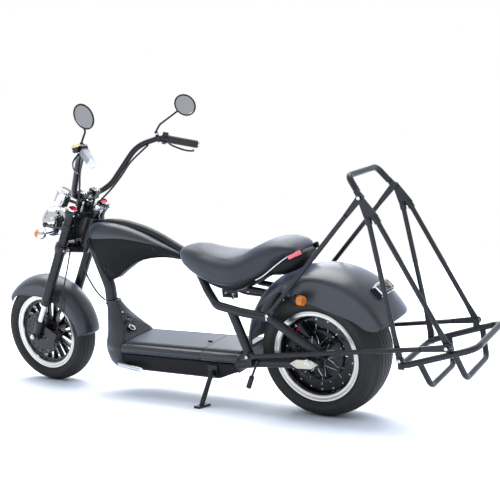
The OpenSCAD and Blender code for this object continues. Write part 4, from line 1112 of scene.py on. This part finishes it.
def bars():
    bm = bmesh.new()
    left = BAR[1:5] + [BAR[5] - RUN * 6.3]
    path = [MIRROR_Y @ p for p in reversed(left)] + left
    tube(bm, bent_path(path, [0, 60, 150, 110, 60, 60, 110, 150, 60, 0], 10), 12.2, 24)
    piece("handlebar_tube", "front_fork", bm, "gloss", 50, ("handlebar",))

    # Left grip silver grey, right grip black, each with a bright end cap
    at = place(BAR[4] + RUN * 36.3, RUN, (0, 0, 1))
    long = (BAR[5] - BAR[4]).length - 36.3
    silver = [(12.3, 0), (19, 0), (19.6, 1.5), (19.6, 4), (18, 5.5), (17.6, 8)]
    silver += [(17.6 - 1.4 * k / 12, 9 + (long - 16) * k / 12) for k in range(13)]
    silver += [(16.2, long - 6), (12.3, long - 6)]
    turned("grip_left", "front_fork", silver, at, 48, "grip", 50, ("grips",))
    bm = bmesh.new()
    black = [(12.3, 0), (18, 0), (18.4, 3), (16.4, 5)]
    black += [(16.6 - (0.9 if k % 3 == 2 else 0), 6 + (long - 13) * k / 60) for k in range(61)]
    black += [(16.2, long - 6), (12.3, long - 6)]
    lathe(bm, black, MIRROR_Y @ at, 40)
    piece("grip_right", "front_fork", bm, "rubber", 50)

    def cap(b):
        lathe(b, [(10, long - 6), (16.6, long - 6), (16.6, long - 1.2), (15.4, long), (12.6, long),
                  (12, long - 1.6), (8.6, long - 1.6), (8, long - 0.6), (0, long - 0.4)], at, 40)

    pair("grip_caps", "front_fork", cap, "chrome", 38)

    def pod(b):
        head = place(BAR[4], RUN, (0, 0, 1))
        lathe(b, [(12.3, 7), (18, 7), (19.5, 8.5), (19.5, 19.6), (18.8, 20), (18.8, 21), (19.5, 21.4),
                  (19.5, 33.5), (18, 35), (12.3, 35)], head, 40)
        block(b, (15, 22, 24), head @ shift(20, -3, 21), 3)
        block(b, (10, 12, 18), head @ shift(-19, 0, 19), 2.5)
        bends = ((21, 15, 0), (32, 36, -5), (48, 52, -12), (80, 58, -19), (110, 56, -23), (134, 52, -22),
                 (146, 49, -18))
        lever = [BAR[4] + RUN * r + SIDE * s + Vector((0, 0, z)) for r, s, z in bends]
        line = smooth_path(lever, 6)
        radii = [6.5 - 2.4 * min(1.0, k / 10) + (2.2 if k > len(line) - 4 else 0) for k in range(len(line))]
        tube(b, line, radii, 12, flat=0.7)
        lathe(b, [(12.3, -7), (17, -7), (18, -5.5), (18, 5.5), (17, 7), (12.3, 7)], place(PERCH, ARM), 36)

    pair("lever_pods", "front_fork", pod, "gloss", 38, ("lever_sets",))

    def pod_bolts(b):
        bolt(b, place(BAR[4] + RUN * 14 - Vector((0, 0, 23.5)), (0, 0, -1)), 3.8, 5)
        bolt(b, place(BAR[4] + RUN * 28 + SIDE * 20 + Vector((0, 0, 6)), SIDE), 3.2, 4)
        at = place(PERCH + PERCH_UP * 17, PERCH_UP)
        lathe(b, [(4, 0), (9.5, 0), (10, 1.2), (10, 4.5), (9, 6), (4.5, 6.4)], at, 28)

    pair("bar_bolts", "front_fork", pod_bolts, "chrome", 38)

    # Brake reservoir with a two-step brass-coloured lid, on the left pod
    at = place(BAR[4] + RUN * 2 + SIDE * 24 + Vector((0, 0, 14)), (0.1, 0.05, 1))
    turned("reservoir", "front_fork", [(0, -14), (15, -14), (18, -10), (18, 7), (0, 7)], at, 36, "gloss", 38)
    lid = [(0, 7), (19.4, 7), (19.4, 10.5), (18, 11.6), (13, 11.6), (13, 14.4), (12, 15.6), (0, 15.9)]
    turned("reservoir_lid", "front_fork", lid, at, 36, "brass", 38)

    # Mirrors, the left one turned further back
    bm, glass = bmesh.new(), bmesh.new()
    for side, look, knee in ((Matrix(), LOOK_LEFT, (790, 262, 1100)), (MIRROR_Y, LOOK, (812, 222, 1088))):
        head = side @ place(MIRROR, look)
        lathe(bm, [(0, -16), (16, -15.6), (30, -13.6), (41, -9.4), (47.4, -3.6), (49, -0.6), (48.4, 0.6),
                   (44, 0.7), (41.4, -1.6), (0, -1.8)], head, 64)
        line = bent_path([PERCH + PERCH_UP * 18, PERCH + PERCH_UP * 30, knee, MIRROR - look * 13], 14, 8)
        tube(bm, line, 4.3, 14, at=side)
        lathe(bm, [(0, -5), (6, -4), (8, 0), (6, 4), (0, 5)], side @ place(PERCH + PERCH_UP * 27, PERCH_UP), 24)
        lathe(bm, [(8.5, 0), (8.5, 3), (5, 7), (0, 9)], side @ place(MIRROR - look * 15, -look), 20)
        lathe(glass, [(0, -2.4), (41.8, -2.4), (41.8, -1.3), (40.5, -0.9), (24, -0.5), (0, -0.4)], head, 64)
    piece("mirror_shells", "front_fork", bm, "gloss", 40, ("mirrors",))
    piece("mirror_glass", "front_fork", glass, "mirror", 40)


def lamps():
    at = shift(1262, 0, 716) @ turn(82, "Y")
    bowl = [(0, -46), (16, -45.6), (32, -43), (46, -36), (56, -26), (62.5, -13), (65, -1), (65.6, 1),
            (65.6, 3.4), (64.2, 4.4), (64.2, 7), (66, 8.2), (66, 17), (64.5, 20.5), (61.5, 21.8),
            (58.5, 20.4), (57, 17), (52, 0), (38, -16), (0, -26)]
    turned("headlight_bowl", "front_fork", bowl, at, 96, "chrome", 36, ("headlight",))
    lens = [(58.2, 17), (50, 19.4), (30, 21.2), (0, 21.8), (0, 19.8), (30, 19.2), (50, 17.4), (58, 15.6)]
    turned("headlight_lens", "front_fork", lens, at, 64, "lens", 40)
    bm = bmesh.new()
    for k in (-1, 1):
        rows = [(46 + 13 * sin(f), -36 + 34 * (1 - cos(f))) for f in (pi / 2 * i / 8 for i in range(9))]
        tube(bm, [(0, k * (r + 1.4), h) for r, h in rows], 2.6, 10, flat=0.5, at=at)
    piece("headlight_bar", "front_fork", bm, "dark", 40)

    # Instrument: bright can with a domed top
    foot, head = Vector((1220, 0, 792)), Vector((1180, 0, 848))
    long = (head - foot).length
    at = place(foot, head - foot, (1, 0, 0))
    can = [(0, 0), (20, 0), (29, 2.5), (33.5, 8), (34.4, 14), (34.4, long - 16), (33.6, long - 15),
           (33.6, long - 13.6), (35, long - 12.4), (35, long - 4), (33.6, long - 1.6), (31.6, long - 1.2),
           (30.6, long - 3)]
    turned("instrument_can", "front_fork", can, at, 80, "chrome", 36, ("speedometer",))
    turned("instrument_face", "front_fork", [(31, long - 5), (0, long - 5)], at, 48, "dark", 40)
    bm = bmesh.new()
    for i in range(11):
        spin = at @ turn(30 * i - 150) @ shift(25, 0, long - 4.7)
        block(bm, (6, 1.4, 0.5), spin)
    block(bm, (22, 1.4, 0.6), at @ turn(115) @ shift(9, 0, long - 4.2))
    piece("instrument_marks", "front_fork", bm, "steel", 40)
    glass = [(31, long - 3.2), (24, long - 0.9), (12, long - 0.2), (0, long - 0.1), (0, long - 1.6),
             (12, long - 1.8), (24, long - 2.6), (31, long - 4.6)]
    turned("instrument_glass", "front_fork", glass, at, 64, "lens", 40)

    # Bullet signals with amber fronts
    tail, nose = Vector((1178, 156, 684)), Vector((1222, 168, 700))
    at_left = place(tail, nose - tail)
    span = (nose - tail).length

    def bullet(b):
        lathe(b, [(0, 0), (5, 0.8), (10, 4), (15, 9), (18, 15), (18.6, 21), (18.6, 24), (19, 25), (19, 28),
                  (17.6, 29), (0, 29)], at_left, 48)
        tube(b, [(1197, 84, 690), (1199, 120, 691), (1199.6, 145, 691.6)], [5.2, 4.6, 5.6], 20)

    pair("front_signal_bodies", "front_fork", bullet, "chrome", 38, ("front_indicators",))
    amber = [(0, 29), (18.2, 29), (18.2, 38), (16.4, 43), (10, span - 0.8), (0, span)]
    turned("front_signal_lenses", "front_fork", amber, at_left, 48, "amber", 40, twin=True)

    # Clamps on the fork, straps to the bowl and the signals, and the instrument's bar
    def arm(b):
        lathe(b, [(19.6, 536), (23, 536), (24, 537), (24, 571), (23, 572), (19.6, 572)],
              FORK @ shift(0, LEG_Y, 0), 40)
        line = [FORK @ Vector((20, 88, 546)), (1160, 79, 705), (1200, 73, 703), (1258, 69, 714)]
        tube(b, smooth_path(line, 6), 8, 16, flat=0.55)
        lathe(b, [(0, -2.6), (11, -2.6), (11, 4), (9, 6), (0, 6)], place((1262, 68.5, 716), (0, 1, 0)), 28)
        lathe(b, [(0, 0), (11, 0), (12, 1), (12, 12), (10, 14), (0, 14)], place((1196, 71, 690), (0, 1, 0)), 28)
        bolt(b, FORK @ place((20, 97, 554), (1, 0, 0)), 4, 6)

    bm = bmesh.new()
    both(arm, bm)
    tube(bm, smooth_path([(1060, 0, 762), (1090, 0, 782), (1130, 0, 797), (1186, 0, 812)], 5), 7, 18)
    piece("lamp_arms", "front_fork", bm, "gloss", 40, ("lamp_brackets",))

    # Moulded cover between the legs, over the wiring
    rows = [((20, 134, 112), (6, 0, 536), 9, 4), ((16, 96, 40), (18, 0, 556), 7, 3)]
    blocks("head_cover", "front_fork", FORK, rows, "dark", 40)


# Rear fittings


def rear_fittings():
    base, tip = Vector((28, 158, 464)), Vector((-14, 166, 464))
    at = place(base, tip - base)

    def stem(b):
        lathe(b, [(0, -12), (6, -11.5), (9, -9), (15.5, 0), (17.4, 3), (17.4, 15.5), (18, 16), (18, 20),
                  (0, 20)], at, 40)
        lathe(b, [(12, 0), (12, 3), (9, 6), (8, 14), (7, 20)], place((43, 128.5, 462), (-0.6, 1, 0.04)), 28)
        tube(b, [(44, 129, 462), (40, 142, 462.5), (30, 152, 463.6), (24, 157, 464)], [9, 8, 7.5, 8], 20)

    pair("rear_signal_bodies", "chassis", stem, "dark", 38, ("rear_indicators",))

    def amber(b):
        rows = [(0, 20), (17.6, 20)]
        for k in range(5):
            rows += [(17.6, 21.5 + 3.4 * k), (16.9, 22.8 + 3.4 * k), (16.9, 23.6 + 3.4 * k)]
        lathe(b, rows + [(17, 39), (14, 42), (0, 42.8)], at, 48)

    pair("rear_signal_lenses", "chassis", amber, "amber", 40)

    # Tail light: black housing, bright bezel, clear lens over a reflector
    at = shift(-12, 0, 240.5) @ turn(-46, "Y") @ shift(11, 0, 318)
    rows = [((50, 114, 18), (0, 0, -3), 6, 4), ((38, 106, 10), (0, 0, 8), 3, 3)]
    blocks("tail_light_housing", "chassis", at, rows, "dark", 40, ("tail_light",))
    rows = [((9, 106, 26), (21, 0, 9), 4, 4), ((7, 104, 12), (-21, 0, 9), 3, 3)]
    for y in (-50, 50):
        rows += [((36, 3.5, 9), (0, y, 14), 1.5), ((20, 14, 3), (0, 0.72 * y, 13.4), 1.2)]
    blocks("tail_light_bezel", "chassis", at, rows, "chrome", 40)
    blocks("tail_light_lens", "chassis", at, [((33, 96, 11), (0, 0, 18), 4.5, 5)], "lens", 40)

    # Rear caliper with red bolts, bolts of the frame, and the bolts of the carrier
    at = place((36, 96, 328.5), (sin(radians(38)), 0, cos(radians(38))), (1, 0, 0))
    rows = [((40, 26, 60), (0, 9.4, 0), 6, 3), ((40, 4.5, 56), (0, -20, 0), 1.5),
            ((26, 4, 40), (0, 23.4, 0), 1.6), ((38, 42, 8), (0, 0, 27), 3)]
    blocks("rear_caliper_halves", "chassis", at, rows, "gloss", 38, ("rear_caliper",))
    bm = bmesh.new()
    for x, z in ((45, 343), (27, 320)):
        bolt(bm, place((x, 120.5, z), (0, 1, 0)), 5, 5)
    piece("caliper_bolts", "chassis", bm, "red", 38)

    def shiny(b):
        for x, y, z in ((-243, 157.3, 815), (143, 162.3, 401), (-344, 158.3, 273), (240, 173.3, 243),
                        (-511, 172.3, 332)):
            bolt(b, place((x, y, z), (0, 1, 0)), 6, 5)
        hex_nut(b, place((0, 157.6, 238.5), (0, 1, 0)), 9, 8)
        for x, z in ((58, 228), (-26, 231)):
            bolt(b, place((x, 157.4, z), (0, 1, 0)), 4, 4)
        lathe(b, [(15.2, 0), (19.4, 0), (19.4, 5), (15.2, 5)], place((150, 134.9, 387), (1, -0.04, 0.11)), 32)

    pair("bright_bolts", "chassis", shiny, "chrome", 38)

    # Locks on the nose: key lock with a bright ring, charging port with two studs
    def lock_at(p):
        return Matrix.Translation(p) @ turn(-40, "Y")

    key, port = lock_at((896, 30, 262)), lock_at((912, 26, 298))
    ring = [(10.5, 9), (13, 14), (15, 15.6), (15, 16.4), (13.6, 17), (11.6, 16.6), (10.6, 15)]
    turned("key_ring", "chassis", ring, key, 40, "chrome", 40, ("locks",))
    bm = bmesh.new()
    lathe(bm, [(0, 13), (9.8, 13), (10.2, 12), (10.2, 8)], key, 32)
    lathe(bm, [(14.8, 8), (17.2, 8), (17.2, 15), (16, 16), (15, 15.4)], key, 40)
    lathe(bm, [(0, 12.5), (9, 12.5), (9.4, 15.4), (12, 16.4), (12, 8)], port, 36)
    tube(bm, [(870, -110, 224), (870, 110, 224)], 3.1, 14)
    piece("lock_bodies", "chassis", bm, "gloss", 40)
    bm = bmesh.new()
    for k in (-1, 1):
        lathe(bm, [(0, 15.5), (1.6, 15.3), (1.8, 12.5)], port @ shift(0, 3.6 * k, 0), 12)
    bolt(bm, place((937, 20, 334), (-0.75, 0, 0.66)), 3.4, 4)
    piece("lock_studs", "chassis", bm, "steel", 40)


# Cables and hoses


def line_length(points):
    return sum((b - a).length for a, b in zip(points, points[1:]))


def hose(name, body, points, wide, replaces=()):
    """Cable or hose held at both ends."""
    route = smooth_path(points, 6)
    bm = bmesh.new()
    tube(bm, route, wide / 2, 14)
    obj = piece(name, body, bm, "rubber", 60, replaces)
    line = [PARK @ p for p in route]
    tuple(line[0])
    line_length(line)
    [tuple(p) for p in line]


def cables():
    run = [(869, 201, 1008), (938, 158, 945), (975, 131, 892), (1018, 98, 836), (1069, 60, 784)]
    hose("cable_left", "front_fork", run, 8, ("bar_cables",))
    hose("cable_right", "front_fork", [(x, -y, z) for x, y, z in run], 8)
    run = [(1106, 30, 556), (1098, 33, 500), (1082, 31, 462), (1058, 23, 414), (1031, 12, 380)]
    hose("frame_hose_line", "chassis", run, 7, ("frame_hose",))
    brake = [FORK @ Vector(p) for p in ((-20, 62, 446), (-34, 66, 370), (-50, 72, 270), (-70, 76, 160),
                                        (-82, 77, 68))]
    hose("brake_hose", "front_fork", brake, 6)
    for k, (y, dz) in enumerate(((24, 0), (-6, 10), (-28, -4))):
        loom = [(1222, 0.6 * y, 708 + dz), (1196, 0.9 * y, 690 + dz), (1160, 1.1 * y, 668),
                (1138, 1.2 * y, 640), (1131, 1.2 * y, 612)]
        hose("loom_%d" % k, "front_fork", loom, 8)


# Camera, light and floor


# The photo's camera, in the upright frame
CAMERA = Vector((-1406, 2670, 1192))
YAW, PITCH, ROLL = -57.585, -10.529, -5.78
LENS = 61.73


def aim_camera():
    yaw, pitch, roll = radians(YAW), radians(PITCH), radians(ROLL)
    ahead = Vector((cos(yaw) * cos(pitch), sin(yaw) * cos(pitch), sin(pitch)))
    right0 = ahead.cross(Vector((0, 0, 1))).normalized()
    up0 = right0.cross(ahead)
    right = cos(roll) * right0 + sin(roll) * up0
    up = -sin(roll) * right0 + cos(roll) * up0
    basis = Matrix((right, up, -ahead)).transposed()
    data = bpy.data.cameras.new("camera")
    data.lens, data.sensor_width = LENS, 36.0
    data.clip_start, data.clip_end = 0.1, 60.0
    cam = bpy.data.objects.new("camera", data)
    bpy.context.scene.collection.objects.link(cam)
    spin = Matrix.Rotation(-LEAN, 3, "X") @ basis
    cam.matrix_world = Matrix.Translation(PARK @ CAMERA) @ spin.to_4x4()
    bpy.context.scene.camera = cam


def area(name, where, target, size, power, colour=(1, 1, 1)):
    data = bpy.data.lights.new(name, "AREA")
    data.shape, data.size, data.energy, data.color = "DISK", size, power, colour
    lamp = bpy.data.objects.new(name, data)
    aim = (Vector(target) - Vector(where)).to_track_quat("-Z", "Y")
    lamp.matrix_world = Matrix.Translation(where) @ aim.to_matrix().to_4x4()
    bpy.context.scene.collection.objects.link(lamp)


# Colour of the light by height, from straight below at 0 to straight above at 1
SKY = ((0.0, (0.34, 0.34, 0.34)), (1.0, (0.70, 0.80, 1.0)), (0.50, (0.80, 0.80, 0.80)),
       (0.54, (0.80, 0.81, 0.83)), (0.575, (0.20, 0.22, 0.26)), (0.62, (0.36, 0.42, 0.52)),
       (0.72, (0.74, 0.84, 1.0)))


def light_scene():
    """Plain white background, soft light that is brighter beyond the far side, pale floor."""
    scene = bpy.context.scene
    scene.view_settings.view_transform = "Standard"
    world = bpy.data.worlds.new("studio")
    scene.world = world
    world.use_nodes = True
    tree = world.node_tree
    tree.nodes.clear()
    link = tree.links.new
    add = tree.nodes.new
    out = add("ShaderNodeOutputWorld")
    seen, sky = add("ShaderNodeBackground"), add("ShaderNodeBackground")
    seen.inputs["Color"].default_value = (1, 1, 1, 1)
    coords = add("ShaderNodeTexCoord")
    split = add("ShaderNodeSeparateXYZ")
    link(coords.outputs["Generated"], split.inputs[0])
    ramp = add("ShaderNodeValToRGB")
    height = add("ShaderNodeMapRange")
    height.inputs["From Min"].default_value = -1.0
    link(split.outputs["Z"], height.inputs["Value"])
    link(height.outputs["Result"], ramp.inputs["Fac"])
    bar = ramp.color_ramp.elements
    for k, (at, colour) in enumerate(SKY):
        stop = bar[k] if k < 2 else bar.new(at)
        stop.position, stop.color = at, shade(colour)
    link(ramp.outputs["Color"], sky.inputs["Color"])
    toward = add("ShaderNodeVectorMath")
    toward.operation = "DOT_PRODUCT"
    toward.inputs[1].default_value = (0.536, -0.844, 0.25)
    link(coords.outputs["Generated"], toward.inputs[0])
    strength = add("ShaderNodeMapRange")
    for socket, value in (("From Min", -0.7), ("From Max", 0.9), ("To Min", 0.4), ("To Max", 2.7)):
        strength.inputs[socket].default_value = value
    link(toward.outputs["Value"], strength.inputs["Value"])
    link(strength.outputs["Result"], sky.inputs["Strength"])
    path, pick = add("ShaderNodeLightPath"), add("ShaderNodeMixShader")
    total = path.outputs["Is Camera Ray"]
    for name in ("Is Glossy Ray", "Is Transmission Ray"):
        either = add("ShaderNodeMath")
        either.operation = "MAXIMUM"
        link(total, either.inputs[0])
        link(path.outputs[name], either.inputs[1])
        total = either.outputs[0]
    link(total, pick.inputs["Fac"])
    link(sky.outputs[0], pick.inputs[1])
    link(seen.outputs[0], pick.inputs[2])
    link(pick.outputs[0], out.inputs["Surface"])
    sun = bpy.data.lights.new("sun", "SUN")
    sun.energy, sun.angle = 3.2, radians(50)
    lamp = bpy.data.objects.new("sun", sun)
    lamp.matrix_world = turn(18, "Y") @ turn(14, "X")
    scene.collection.objects.link(lamp)
    area("left_panel", (-1.2, 4.2, 2.6), (0, 0, 0.5), 2.2, 6)
    area("rear_panel", (-4.2, -0.6, 2.0), (0, 0, 0.5), 1.6, 10)
    area("right_panel", (1.5, -3.8, 2.6), (0, 0, 0.4), 2.0, 34)
    bm = bmesh.new()
    bmesh.ops.create_grid(bm, x_segments=1, y_segments=1, size=14)
    mesh = bpy.data.meshes.new("floor")
    bm.to_mesh(mesh)
    bm.free()
    floor = bpy.data.objects.new("floor", mesh)
    scene.collection.objects.link(floor)
    mesh.materials.append(finish_of("pale_floor", (0.9, 0.9, 0.9), 0.9, spread=0.02, tint=0.01, grain=None,
                                    specular=0.1))


aim_camera()
panels()
deck()
fenders()
seat()
wheels()
frame_skins()
front_wheel()
fork()
bars()
lamps()
rear_fittings()
cables()
light_scene()
